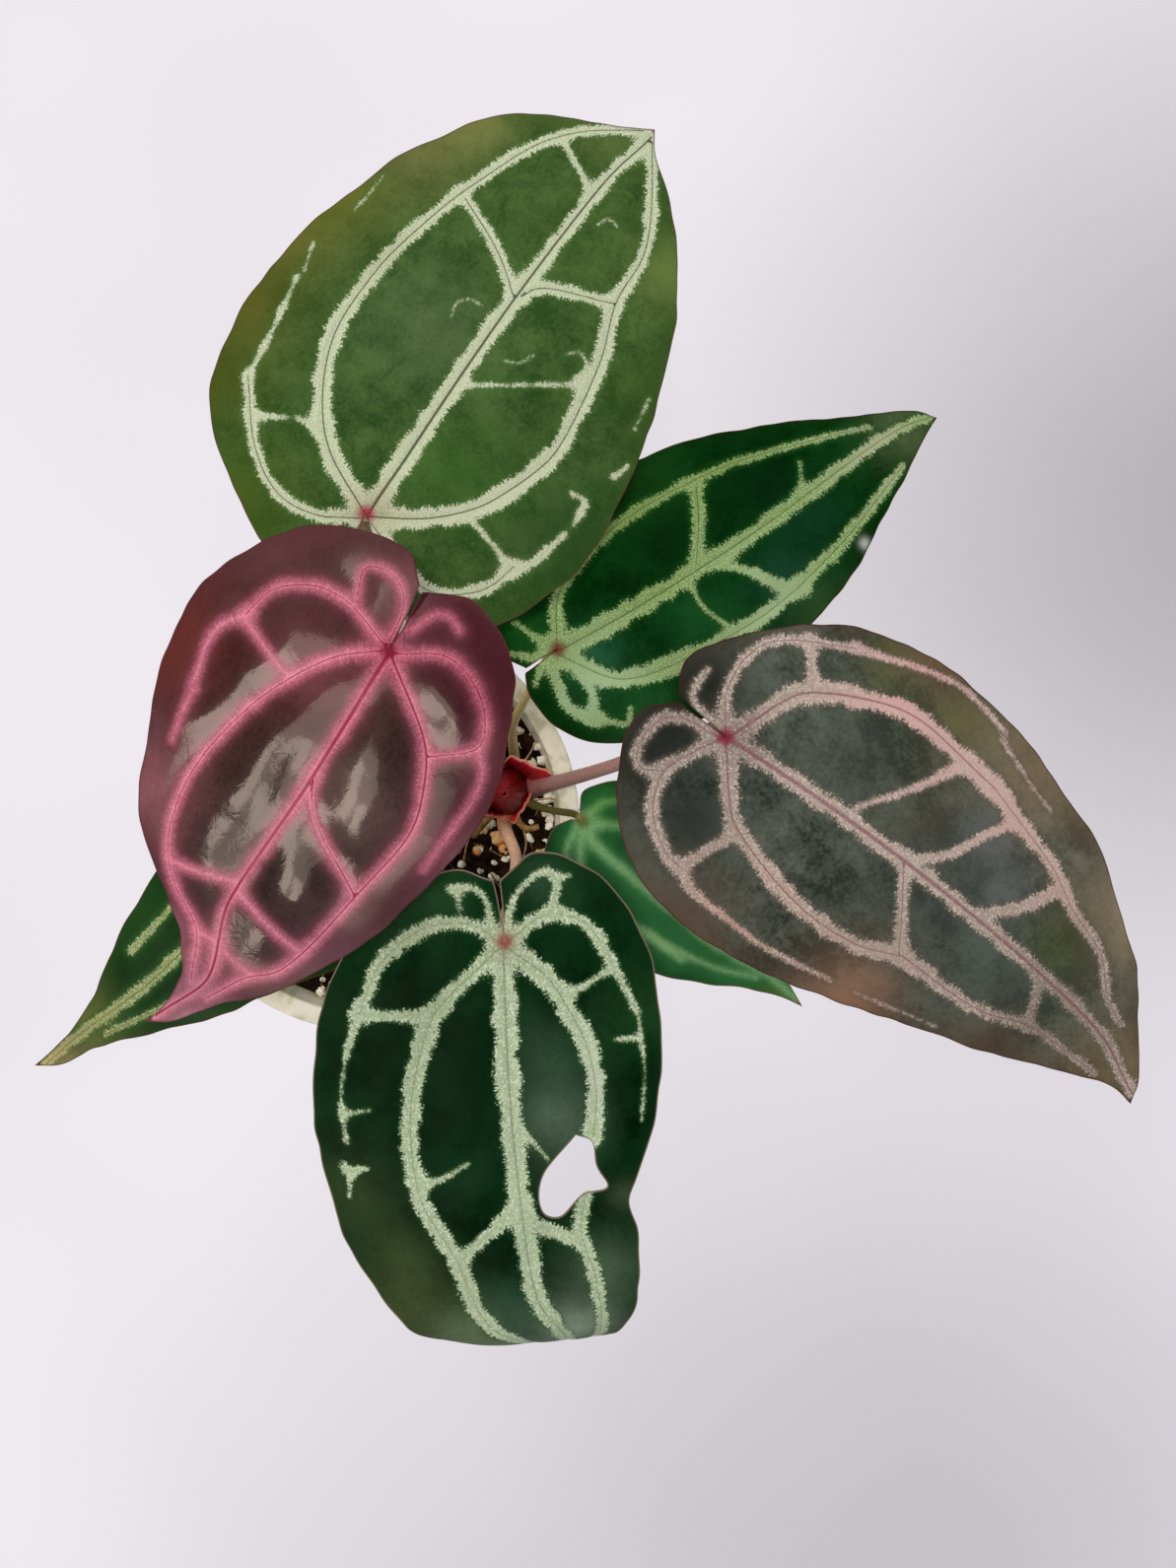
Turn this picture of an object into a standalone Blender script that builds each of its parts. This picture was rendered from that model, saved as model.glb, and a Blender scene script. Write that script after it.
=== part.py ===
# A potted anthurium with seven velvet leaves in a round plastic nursery pot.
# Metres, +Z up. The origin is the middle of the pot's base, which stands on the ground.
# Sizes below are in millimetres and are turned to metres by MM.

import bpy
import bmesh
import numpy as np
from math import atan2, cos, pi, radians, sin, tau
from mathutils import noise, Vector

MM = 0.001

# Clearance between pieces that touch
SEAT_GAP = 0.3

# Pot: a thin tapered wall, a flat lip and the short skirt that hangs from it
POT_HEIGHT = 95.0
LIP_RADIUS = 55.0
LIP_WIDTH = 5.0
SKIRT_DROP = 8.0
BASE_RADIUS = 38.3
WALL = 1.2
FLOOR = 2.0
POT_SIDES = 64
DRAIN_HOLES = 6
DRAIN_RADIUS = 3.0
DRAIN_CIRCLE = 27.0

# Potting mix
SOIL_BELOW_RIM = 8.0
SOIL_BUMP = 1.8
SOIL_BUMP_SPAN = 4.5
SOIL_SIDES = 48
SOIL_RINGS = 11

# Crown: the short stem that every stalk grows from
CROWN_X = 35.8
CROWN_Y = 8.6
CROWN_RADIUS = 6.2
CROWN_DEPTH = 15.0
CROWN_RISE = 9.0
CROWN_SIDES = 16
NODE_SPACING = 5.0
NODE_SWELL = 0.4
ROOT_RADIUS = 1.5
# bearing in degrees, height over the rim, length
ROOT_STUBS = [(-50, -4.2, 13.0), (232, -4.4, 12.0)]

# Sheaths: bearing where each starts and ends, foot and edge radius, foot and edge height over the rim
SHEATH_THICKNESS = 0.7
SHEATHS = {
    "sheath_wing": dict(start=20, end=62, foot=6.5, edge=12.5, low=-2.0, high=8.0, colour=(0.45, 0.02, 0.03)),
    "sheath_tongue": dict(start=-86, end=-46, foot=6.5, edge=11.0, low=-1.6, high=3.5, colour=(0.42, 0.03, 0.03)),
    "sheath_dry": dict(start=167, end=187, foot=6.5, edge=10.0, low=-5.0, high=6.0, colour=(0.25, 0.13, 0.06)),
}

# Blades
BLADE = 0.8
SPOKES = 25
LOBE_SPOKES = 8
RINGS = (0.0, 0.3, 0.62, 0.86, 1.0)
LOBE_REACH = 15.0

# Each leaf: the joint where blade meets stalk (x, y, height over the rim), the compass heading of its
# midrib in degrees, and its shape in millimetres ahead of and to the left of the joint.
# fall is how far the tip hangs below the joint, arch how far the margin hangs below the midrib.
# lift raises the left and right lobe, roll tilts the blade, curl starts the roll-under of the tip.
# stalk: base bearing, base height over the rim, base and top radius, and the points that it passes.
LEAVES = {
    "top": dict(
        joint=(6, 73, 62), heading=54.5, length=116, half=50, fall=16, arch=5, roll=0.04,
        lift=(1, 0), wave=0.9, waves=5,
        midrib=[(35, 0.5), (60, 2), (92, 2)],
        left=[(-18, -1.5), (-21, 7), (-15, 24), (1, 45.5), (27, 53.5), (58, 50), (86, 38.5), (102, 25),
              (112, 6)],
        right=[(-13, -16), (-13, -30), (-3, -39), (18, -47), (38, -45.5), (60, -40), (86, -28),
               (103.5, -13), (111, -4)],
        stalk=(106, -3, 2.1, 1.5), passes=[(20, 41, 34)], colour=(0.06, 0.13, 0.04)),
    "right": dict(
        joint=(50, 43.5, 38), heading=32, length=113, half=32, fall=18, arch=5, roll=-0.05,
        lift=(0, 1), wave=0.9, waves=4,
        midrib=[(19, -2), (55, -1), (88, 1)],
        left=[(-9, 0.2), (-12.5, 7), (-7, 18.5), (10, 28), (30, 31), (50, 29), (72, 21.5), (93, 12),
              (109, 4.5)],
        right=[(-10, -0.8), (-12, -8), (-7.5, -21), (8, -31), (24, -33), (46, -30), (72, -21.5),
               (96, -8.5), (107, -3)],
        stalk=(76, -1, 1.5, 1.2), passes=[(38.5, 26, 20), (43, 34, 29)], colour=(0.02, 0.07, 0.03)),
    "pink": dict(
        joint=(15, 39, 98), heading=-126, length=104, half=40, fall=40, arch=6, roll=0.0,
        lift=(-1, 1.5), wave=1.0, waves=4,
        midrib=[(36, 2), (63, 1), (80, 5.5), (90, 5.5)],
        left=[(-14, -0.6), (-18.5, 8), (-13.5, 22), (0, 31), (18, 37), (40, 35.5), (62, 30), (76, 23),
              (90, 12), (99, 6)],
        right=[(-15, -2), (-19.5, -8), (-18, -17), (-9, -31.5), (6, -41), (20, -43), (40, -37.5),
               (61, -27), (72, -16.5), (80, -4.5), (86, 0.5), (98, 1.5)],
        stalk=(146, -0.5, 2.1, 1.6), passes=[(24, 27, 56)], colour=(0.27, 0.08, 0.1)),
    "bronze": dict(
        joint=(88, 21, 78), heading=-41, length=135.5, half=42, fall=42, arch=6, roll=0.03,
        lift=(1, -0.5), wave=1.0, waves=5,
        midrib=[(17, 2.5), (50, 6), (90, 8), (118, 7)],
        left=[(-14, 0.2), (-18, 7), (-12.5, 19), (2.5, 35.5), (20, 44), (40, 46.5), (70, 43),
              (90.5, 37), (106.5, 27.5), (120.5, 17), (131.5, 6.5)],
        right=[(-13, -1), (-18, -8), (-14, -20), (1, -34), (18, -38), (43, -34.5), (81.5, -20),
               (104, -11), (120, -2.5), (130, 0.7)],
        stalk=(8, 1, 2.1, 1.6), passes=[(63, 14.8, 42)], colour=(0.06, 0.05, 0.03)),
    "front": dict(
        joint=(38, -26, 60), heading=-83.5, length=141, half=44, fall=52, arch=6, roll=0.0,
        lift=(0, 0), wave=0.9, waves=5, curl=(97, 14, 140),
        midrib=[(15, -1.5), (48, -3), (80, -3.5), (102, 2)],
        left=[(-14, 0.4), (-20, 10), (-11, 25), (6, 33), (28, 34), (48, 30.5), (60, 25), (67.5, 22),
              (76, 23.5), (88, 23), (98, 20.5), (110, 15), (126, 7)],
        right=[(-14.5, -0.8), (-18, -9), (-14.5, -21.5), (0, -38.5), (14, -46), (39, -51), (60, -49.5),
               (80, -44), (98, -33.5), (112, -21), (128, -8)],
        stalk=(-104, 0, 2.1, 1.6), passes=[(39.3, -8, 26)], colour=(0.02, 0.08, 0.03)),
    "small": dict(
        joint=(56, 1, 16), heading=-40.5, length=78, half=21, fall=28, arch=4, roll=0.0,
        lift=(0, 0), wave=0.6, waves=3,
        midrib=[(9, -1.5), (36, -3), (58, -1)],
        left=[(-2.5, 1.5), (-5, 6), (1, 14), (12, 19), (25, 20.5), (40, 17), (55, 10), (70, 3)],
        right=[(-2.5, -1.5), (-4.5, -6.5), (1, -16.5), (10, -20.5), (24, -22.5), (40, -19), (52, -13),
               (63, -5.5), (71, -2)],
        stalk=(-26, 1, 1.3, 1.0), passes=[(48.5, 3.6, 8.5)], colour=(0.03, 0.11, 0.04)),
    "rear": dict(
        joint=(-2.5, -3, 28), heading=-145, length=108, half=27, fall=36, arch=5, roll=0.0,
        lift=(0, 0), wave=0.8, waves=4,
        midrib=[(40, -2), (66, 0.5)],
        left=[(-12, 2), (-16, 9), (-11, 19), (0, 25), (15, 27), (35, 22), (60, 16.5), (88, 6),
              (101.5, 4)],
        right=[(-12, -1), (-18, -7), (-10, -21.5), (6, -28), (27, -27), (47, -22.5), (59.5, -17),
               (74, -9.5), (89, -2.5), (100, -0.8)],
        stalk=(205, -1, 1.8, 1.3), passes=[(17, 3, 19)], colour=(0.02, 0.07, 0.03)),
}
# The torn hole in the front blade, ahead of and to the left of its joint
HOLE = [(49, 11), (51, 14.5), (57, 15), (63, 17), (64, 11), (69.5, 4.5), (68, 1.5), (63, 0.5), (57, 2.5)]

STALK_POINTS = 18
STALK_COLOUR = (0.3, 0.2, 0.09)


def clear_scene():
    for thing in list(bpy.data.objects):
        bpy.data.objects.remove(thing)


def make_material(name, colour, roughness, metallic=0.0):
    material = bpy.data.materials.new(name)
    material.use_nodes = True
    shader = material.node_tree.nodes["Principled BSDF"]
    shader.inputs["Base Color"].default_value = (*colour, 1.0)
    shader.inputs["Roughness"].default_value = roughness
    shader.inputs["Metallic"].default_value = metallic
    return material


def add_object(name, data, material):
    thing = bpy.data.objects.new(name, data)
    data.materials.append(material)
    bpy.context.collection.objects.link(thing)
    return thing


def mesh_from(bm, name):
    mesh = bpy.data.meshes.new(name)
    bm.to_mesh(mesh)
    bm.free()
    mesh.shade_smooth()
    return mesh


def cut_with(target, cutter):
    cutter.hide_render = True
    cutter.display_type = "WIRE"
    cut = target.modifiers.new("Cut", "BOOLEAN")
    cut.operation = "DIFFERENCE"
    cut.object = cutter


def spread(line, steps):
    """The same line with its points evenly spaced."""
    reach = np.concatenate([[0], np.cumsum(np.linalg.norm(np.diff(line, axis=0), axis=1))])
    even = np.linspace(0, reach[-1], steps + 1)
    return np.column_stack([np.interp(even, reach, column) for column in line.T])


def smooth_line(points, steps):
    """Points evenly spaced along a centripetal Catmull-Rom curve through the given ones."""
    given = [np.array(p, float) for p in points]
    run = [2 * given[0] - given[1], *given, 2 * given[-1] - given[-2]]
    dense = []
    for a, b, c, d in zip(run, run[1:], run[2:], run[3:]):
        t1 = np.linalg.norm(b - a) ** 0.5
        t2 = t1 + np.linalg.norm(c - b) ** 0.5
        t3 = t2 + np.linalg.norm(d - c) ** 0.5
        for t in np.linspace(t1, t2, 12, endpoint=False):
            ab = a + (b - a) * t / t1
            bc = b + (c - b) * (t - t1) / (t2 - t1)
            cd = c + (d - c) * (t - t2) / (t3 - t2)
            left = ab + (bc - ab) * t / t2
            right = bc + (cd - bc) * (t - t1) / (t3 - t1)
            dense.append(left + (right - left) * (t - t1) / (t2 - t1))
    return spread(np.array(dense + [given[-1]]), steps)


def turned(profile, sides, name):
    """A solid turned round the Z axis from (radius, height) points, in mm."""
    bm = bmesh.new()
    rings = []
    for radius, height in profile:
        count = sides if radius else 1
        rings.append([bm.verts.new((radius * MM * cos(tau * k / sides), radius * MM * sin(tau * k / sides),
                                    height * MM)) for k in range(count)])
    for low, high in zip(rings, rings[1:]):
        for k in range(sides):
            corners = [low[k % len(low)], low[(k + 1) % len(low)], high[(k + 1) % len(high)],
                       high[k % len(high)]]
            bm.faces.new(list(dict.fromkeys(corners)))
    bmesh.ops.recalc_face_normals(bm, faces=bm.faces)
    return mesh_from(bm, name)


def wall_radius(height):
    """Inner radius of the pot's wall at a height."""
    low, high = BASE_RADIUS - WALL, LIP_RADIUS - LIP_WIDTH
    return low + (high - low) * height / POT_HEIGHT


def make_pot(material):
    inner_top = LIP_RADIUS - LIP_WIDTH
    under_lip = POT_HEIGHT - WALL
    skirt_inner = LIP_RADIUS - WALL
    profile = [
        (0, 0), (BASE_RADIUS - 1, 0), (BASE_RADIUS, 1),
        (wall_radius(under_lip) + WALL, under_lip), (skirt_inner, under_lip),
        (skirt_inner, POT_HEIGHT - SKIRT_DROP), (LIP_RADIUS, POT_HEIGHT - SKIRT_DROP),
        (LIP_RADIUS, POT_HEIGHT - 0.6), (LIP_RADIUS - 0.6, POT_HEIGHT), (inner_top + 0.6, POT_HEIGHT),
        (inner_top, POT_HEIGHT - 0.6), (wall_radius(FLOOR + 1), FLOOR + 1),
        (wall_radius(FLOOR) - 1, FLOOR), (0, FLOOR),
    ]
    pot = add_object("pot", turned(profile, POT_SIDES, "pot"), material)
    bm = bmesh.new()
    for k in range(DRAIN_HOLES):
        made = bmesh.ops.create_cone(bm, cap_ends=True, segments=12, radius1=DRAIN_RADIUS * MM,
                                     radius2=DRAIN_RADIUS * MM, depth=4 * FLOOR * MM)
        turn = tau * (k + 0.5) / DRAIN_HOLES
        bmesh.ops.translate(bm, verts=made["verts"],
                            vec=(DRAIN_CIRCLE * MM * cos(turn), DRAIN_CIRCLE * MM * sin(turn), FLOOR * MM / 2))
    cut_with(pot, add_object("drain_cutter", mesh_from(bm, "drain_cutter"), material))


def soil_height(x, y):
    bump = noise.noise(Vector((x, y, 0)) / SOIL_BUMP_SPAN)
    return POT_HEIGHT - SOIL_BELOW_RIM + SOIL_BUMP * bump


def make_soil(material):
    edge = POT_HEIGHT - SOIL_BELOW_RIM - SOIL_BUMP
    rim = wall_radius(edge) - SEAT_GAP
    foot = FLOOR + SEAT_GAP
    profile = [(0, foot), (wall_radius(foot) - 1 - SEAT_GAP, foot), (wall_radius(foot + 2) - SEAT_GAP, foot + 2),
               (rim, edge)]
    profile += [((1 - (k / SOIL_RINGS) ** 1.2) * rim, edge + SOIL_BUMP) for k in range(1, SOIL_RINGS + 1)]
    soil = add_object("potting_mix", turned(profile, SOIL_SIDES, "potting_mix"), material)
    for vertex in soil.data.vertices:
        if vertex.co.z > edge * MM + 1e-6:
            vertex.co.z = soil_height(vertex.co.x / MM, vertex.co.y / MM) * MM
    bm = bmesh.new()
    depth = POT_HEIGHT - SOIL_BELOW_RIM - CROWN_DEPTH
    bore = (CROWN_RADIUS + NODE_SWELL + SEAT_GAP) * MM
    bmesh.ops.create_cone(bm, cap_ends=True, segments=24, radius1=bore, radius2=bore, depth=40 * MM)
    bmesh.ops.translate(bm, verts=bm.verts, vec=(CROWN_X * MM, CROWN_Y * MM, (depth + 20) * MM))
    cut_with(soil, add_object("stem_hole_cutter", mesh_from(bm, "stem_hole_cutter"), material))


def crown_profile():
    """Radius and height of the stem, swollen at each old leaf scar and rounded to a bud on top."""
    low = POT_HEIGHT - SOIL_BELOW_RIM - CROWN_DEPTH + SEAT_GAP
    high = POT_HEIGHT + CROWN_RISE
    steps = 18
    profile = [(0, low)]
    for k in range(steps + 1):
        height = low + (high - low) * k / steps
        bud = min(1, (high - height) / CROWN_RISE)
        swell = NODE_SWELL * (0.5 + 0.5 * cos(tau * (height - low) / NODE_SPACING))
        radius = (CROWN_RADIUS - NODE_SWELL + swell) * bud ** 0.5
        profile.append((max(radius, 0), height))
    return profile


def make_crown(material):
    crown = add_object("stem", turned(crown_profile(), CROWN_SIDES, "stem"), material)
    crown.location = (CROWN_X * MM, CROWN_Y * MM, 0)
    for index, (bearing, rise, length) in enumerate(ROOT_STUBS, 1):
        bm = bmesh.new()
        bmesh.ops.create_cone(bm, cap_ends=True, segments=8, radius1=ROOT_RADIUS * MM,
                              radius2=ROOT_RADIUS * 0.6 * MM, depth=length * MM)
        stub = add_object(f"root_stub_{index}", mesh_from(bm, "root_stub"), material)
        stub.rotation_euler = (0, radians(92), radians(bearing))
        middle = length / 2
        stub.location = ((CROWN_X + middle * cos(radians(bearing))) * MM,
                         (CROWN_Y + middle * sin(radians(bearing))) * MM, (POT_HEIGHT + rise) * MM)
        stub.hide_render = True
        stub.display_type = "WIRE"
        join = crown.modifiers.new("Root", "BOOLEAN")
        join.operation = "UNION"
        join.object = stub


def make_sheath(name, shape):
    """A papery wrap that opens outwards from the stem, widest at its foot and drawn to a blunt edge."""
    across, up = 8, 5
    bm = bmesh.new()
    rows = []
    for i in range(up + 1):
        rise = i / up
        middle = radians(shape["start"] + shape["end"]) / 2
        span = radians(shape["end"] - shape["start"]) * (1 - 0.45 * rise * rise)
        row = []
        for k in range(across + 1):
            side = 2 * k / across - 1
            radius = shape["foot"] + (shape["edge"] - shape["foot"]) * rise ** 1.5
            height = POT_HEIGHT + shape["low"] + (shape["high"] - shape["low"]) * rise * (1 - 0.25 * side * side)
            turn = middle + side * span / 2
            row.append(bm.verts.new(((CROWN_X + radius * cos(turn)) * MM, (CROWN_Y + radius * sin(turn)) * MM,
                                     height * MM)))
        rows.append(row)
    for low, high in zip(rows, rows[1:]):
        for k in range(across):
            bm.faces.new((low[k], low[k + 1], high[k + 1], high[k]))
    bmesh.ops.triangulate(bm, faces=bm.faces)
    sheath = add_object(name, mesh_from(bm, name), make_material(name, shape["colour"], 0.5))
    wall = sheath.modifiers.new("Thickness", "SOLIDIFY")
    wall.thickness = SHEATH_THICKNESS * MM
    wall.offset = 1


def spine(leaf, ahead):
    """How far along its heading and how far up the midrib is, and its pitch, at a distance ahead."""
    length, fall = leaf["length"], leaf["fall"]
    curl_at, curl_radius, curl_turn = leaf.get("curl", (length, 1, 0))
    near = min(ahead, curl_at)
    share = near / length
    drop = fall * (0.35 * share + 0.65 * max(share, 0) ** 2)
    slope = -fall * (0.35 + 1.3 * max(share, 0)) / length
    pitch = atan2(slope, 1)
    if ahead <= curl_at:
        return near, -drop, pitch
    turned_by = min((ahead - curl_at) / curl_radius, radians(curl_turn))
    along = near + curl_radius * (sin(turned_by - pitch) - sin(-pitch))
    up = -drop - curl_radius * (cos(pitch) - cos(turned_by - pitch))
    left_over = ahead - curl_at - curl_radius * turned_by
    pitch -= turned_by
    return along + left_over * cos(pitch), up + left_over * sin(pitch), pitch


def blade_point(leaf, ahead, left, share):
    """World place in mm of a point of the blade's upper face. share is 0 at the midrib and 1 at the margin."""
    along, up, pitch = spine(leaf, ahead)
    side = 1 if left > 0 else -1
    lift = leaf["roll"] * left - leaf["arch"] * (left / leaf["half"]) ** 2
    lift += leaf["lift"][0 if side > 0 else 1] * (min(ahead, 0) / LOBE_REACH) ** 2
    lift += leaf["wave"] * share ** 3 * sin(tau * leaf["waves"] * ahead / leaf["length"] + side)
    x, y, height = leaf["joint"]
    turn = radians(leaf["heading"])
    along -= lift * sin(pitch)
    up += lift * cos(pitch)
    return Vector((x + along * cos(turn) - left * sin(turn), y + along * sin(turn) + left * cos(turn),
                   POT_HEIGHT + height + up))


def blade_spokes(leaf, side):
    """Pairs of a midrib point and the margin point that it reaches, from the sinus round to the tip."""
    tip = (leaf["length"], 0)
    margin = smooth_line([*leaf[side], tip], 10 * SPOKES)
    ribs = smooth_line([(0, 0), *leaf["midrib"], tip], 60)
    rear = int(np.argmin(margin[:, 0]))
    turn = next(i for i in range(rear, len(margin)) if margin[i, 0] > 0.3 * margin[rear, 0])
    lobe = spread(margin[:turn + 1], LOBE_SPOKES)
    edges = np.vstack([lobe, spread(margin[turn:], SPOKES - LOBE_SPOKES)[1:]])
    for index, edge in enumerate(edges):
        ahead = leaf["length"] * max(0, index - LOBE_SPOKES) / (SPOKES - LOBE_SPOKES)
        yield (ahead, float(np.interp(ahead, ribs[:, 0], ribs[:, 1]))), tuple(edge)


def make_blade(name, leaf):
    bm = bmesh.new()
    placed = {}

    def corner(foot, edge, share):
        ahead = foot[0] + (edge[0] - foot[0]) * share
        left = foot[1] + (edge[1] - foot[1]) * share
        key = (round(ahead, 3), round(left, 3))
        if key not in placed:
            placed[key] = bm.verts.new(blade_point(leaf, ahead, left, share) * MM)
        return placed[key]

    for side in ("left", "right"):
        spokes = [[corner(foot, edge, share) for share in RINGS] for foot, edge in blade_spokes(leaf, side)]
        for near, far in zip(spokes, spokes[1:]):
            for k in range(len(RINGS) - 1):
                corners = [near[k], near[k + 1], far[k + 1], far[k]]
                corners = list(dict.fromkeys(corners[::-1] if side == "left" else corners))
                if len(corners) > 2:
                    bm.faces.new(corners)
    bmesh.ops.triangulate(bm, faces=bm.faces, quad_method="SHORT_EDGE")
    blade = add_object(f"blade_{name}", mesh_from(bm, f"blade_{name}"),
                       make_material(f"blade_{name}", leaf["colour"], 0.5))
    body = blade.modifiers.new("Thickness", "SOLIDIFY")
    body.thickness = BLADE * MM
    body.offset = -1
    return blade


def tear_hole(blade, leaf):
    """Cuts the torn hole straight down through a blade."""
    bm = bmesh.new()
    places = [blade_point(leaf, ahead, left, 0.5) for ahead, left in HOLE]
    top = max(place.z for place in places) + 10
    floor = min(place.z for place in places) - 10
    face = bm.faces.new([bm.verts.new((p.x * MM, p.y * MM, floor * MM)) for p in places])
    pulled = bmesh.ops.extrude_face_region(bm, geom=[face])
    risen = [part for part in pulled["geom"] if isinstance(part, bmesh.types.BMVert)]
    bmesh.ops.translate(bm, verts=risen, vec=(0, 0, (top - floor) * MM))
    bmesh.ops.recalc_face_normals(bm, faces=bm.faces)
    cut_with(blade, add_object("hole_cutter", mesh_from(bm, "hole_cutter"), blade.data.materials[0]))


def stalk_route(leaf):
    """The stalk's middle line in mm, from the stem's side to just under the blade's joint."""
    bearing, rise, base_radius, top_radius = leaf["stalk"]
    out = Vector((cos(radians(bearing)), sin(radians(bearing)), 0))
    start = Vector((CROWN_X, CROWN_Y, POT_HEIGHT + rise))
    start += out * (CROWN_RADIUS + SEAT_GAP + 0.5 * base_radius)
    bend = start + (out + Vector((0, 0, 0.9))) * 3
    _, _, pitch = spine(leaf, 0)
    turn = radians(leaf["heading"])
    forward = Vector((cos(turn) * cos(pitch), sin(turn) * cos(pitch), sin(pitch)))
    down = Vector((cos(turn) * sin(pitch), sin(turn) * sin(pitch), -cos(pitch)))
    end = blade_point(leaf, 0, 0, 0) + down * (BLADE + SEAT_GAP + 0.5 * top_radius)
    knee = end + down * 3.5 - forward * 2
    passes = [Vector((x, y, POT_HEIGHT + height)) for x, y, height in leaf["passes"]]
    return smooth_line([start, bend, *passes, knee, end], STALK_POINTS - 1)


def make_stalk(name, leaf, material):
    _, _, base_radius, top_radius = leaf["stalk"]
    curve = bpy.data.curves.new(f"stalk_{name}", "CURVE")
    curve.dimensions = "3D"
    curve.bevel_depth = MM
    curve.bevel_resolution = 2
    curve.use_fill_caps = True
    spline = curve.splines.new("POLY")
    route = stalk_route(leaf)
    spline.points.add(len(route) - 1)
    for index, place in enumerate(route):
        share = index / (len(route) - 1)
        slim = 0.25 * sin(pi * share)
        spline.points[index].co = (*(place * MM), 1)
        spline.points[index].radius = base_radius + (top_radius - base_radius) * share - slim
    add_object(f"stalk_{name}", curve, material)


def main():
    clear_scene()
    make_pot(make_material("pot_plastic", (0.8, 0.77, 0.66), 0.45))
    make_soil(make_material("potting_mix", (0.03, 0.02, 0.015), 0.95))
    make_crown(make_material("stem", (0.2, 0.06, 0.03), 0.7))
    for name, shape in SHEATHS.items():
        make_sheath(name, shape)
    stalk_material = make_material("stalk", STALK_COLOUR, 0.5)
    for name, leaf in LEAVES.items():
        make_stalk(name, leaf, stalk_material)
        blade = make_blade(name, leaf)
        if name == "front":
            tear_hole(blade, leaf)


main()
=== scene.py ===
# The looks of a potted anthurium seen from straight above: seven silver-veined leaves on long stalks, a crown
# wrapped in red sheaths, and a cream nursery pot of bark and perlite.
# Sizes are millimetres and mm turns them to metres. The origin is the middle of the pot's base.

import bmesh
import bpy
import numpy as np
from math import cos, pi, radians, sin, tau
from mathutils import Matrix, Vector, geometry, noise


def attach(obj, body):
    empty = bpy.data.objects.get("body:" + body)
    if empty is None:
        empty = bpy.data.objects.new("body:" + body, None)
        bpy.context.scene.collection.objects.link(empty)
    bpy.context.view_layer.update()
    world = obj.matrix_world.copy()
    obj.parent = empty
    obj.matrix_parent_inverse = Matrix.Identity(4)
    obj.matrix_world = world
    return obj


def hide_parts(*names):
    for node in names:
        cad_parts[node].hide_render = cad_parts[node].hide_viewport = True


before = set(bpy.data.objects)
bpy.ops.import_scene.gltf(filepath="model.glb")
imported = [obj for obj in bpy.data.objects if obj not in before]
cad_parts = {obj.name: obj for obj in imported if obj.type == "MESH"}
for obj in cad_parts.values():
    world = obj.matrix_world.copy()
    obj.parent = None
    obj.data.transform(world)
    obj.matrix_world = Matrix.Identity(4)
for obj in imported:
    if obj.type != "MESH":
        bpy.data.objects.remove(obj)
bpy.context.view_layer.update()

mm = 0.001
rim = 95.0  # height of the pot's rim, which leaf heights are counted from
joinName = "root"  # the part's one body


def linear(hexColour):
    parts = [int(hexColour[k:k + 2], 16) / 255 for k in (1, 3, 5)]
    return (*[p / 12.92 if p <= 0.04045 else ((p + 0.055) / 1.055) ** 2.4 for p in parts], 1.0)


def addNode(tree, kind, settings=None, inputs=None):
    # Adds a node. A node or socket given as an input is linked, and anything else becomes the socket's value.
    node = tree.nodes.new(kind)
    for name, value in (settings or {}).items():
        setattr(node, name, value)
    for name, value in (inputs or {}).items():
        if isinstance(name, int):
            socket = node.inputs[name]
        else:
            socket = next(s for s in node.inputs if s.name == name and s.enabled)
        if isinstance(value, bpy.types.Node):
            value = next(s for s in value.outputs if s.enabled)
        if isinstance(value, bpy.types.NodeSocket):
            tree.links.new(value, socket)
        else:
            socket.default_value = value
    return node


def newMaterial(name, finish):
    # A material whose shader gets the sockets of finish, and the tree to build the rest in.
    material = bpy.data.materials.new(name)
    material.use_nodes = True
    shader = material.node_tree.nodes["Principled BSDF"]
    for socket, value in finish.items():
        shader.inputs[socket].default_value = value
    return material, material.node_tree, shader


def joinShader(tree, shader, links):
    for socket, node in links.items():
        tree.links.new(next(s for s in node.outputs if s.enabled), shader.inputs[socket])


def objectPlace(tree):
    return addNode(tree, "ShaderNodeTexCoord").outputs["Object"]


def attribute(tree, label):
    return addNode(tree, "ShaderNodeAttribute", {"attribute_name": label}).outputs


def maths(tree, operation, *values):
    return addNode(tree, "ShaderNodeMath", {"operation": operation}, dict(enumerate(values)))


def mapped(tree, value, start, end, low=0.0, high=1.0, smooth=False):
    # A value that runs from start to end, turned into one that runs from low to high.
    kind = "SMOOTHSTEP" if smooth else "LINEAR"
    return addNode(tree, "ShaderNodeMapRange", {"interpolation_type": kind}, {
        "Value": value, "From Min": start, "From Max": end, "To Min": low, "To Max": high})


def noiseOver(tree, place, scale, detail, **more):
    return addNode(tree, "ShaderNodeTexNoise", None, {
        "Vector": place, "Scale": scale, "Detail": detail, **more})


def swing(tree, value, reach):
    # A noise between 0 and 1, turned into a swing of this reach about nothing.
    return maths(tree, "MULTIPLY_ADD", value, reach, -reach / 2)


def blend(tree, factor, under, over):
    # One colour laid over another. Each is a hex colour, a node or a socket.
    under, over = (linear(colour) if isinstance(colour, str) else colour for colour in (under, over))
    return addNode(tree, "ShaderNodeMix", {"data_type": "RGBA"}, {"Factor": factor, "A": under, "B": over})


def rampOf(tree, value, first, last, *between):
    # Colours at their places along a value, each a pair of place and hex colour.
    ramp = addNode(tree, "ShaderNodeValToRGB", None, {"Fac": value})
    stops = ramp.color_ramp.elements
    stops[0].position, stops[0].color = first[0], linear(first[1])
    stops[1].position, stops[1].color = last[0], linear(last[1])
    for place, colour in between:
        stops.new(place).color = linear(colour)
    return ramp


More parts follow.
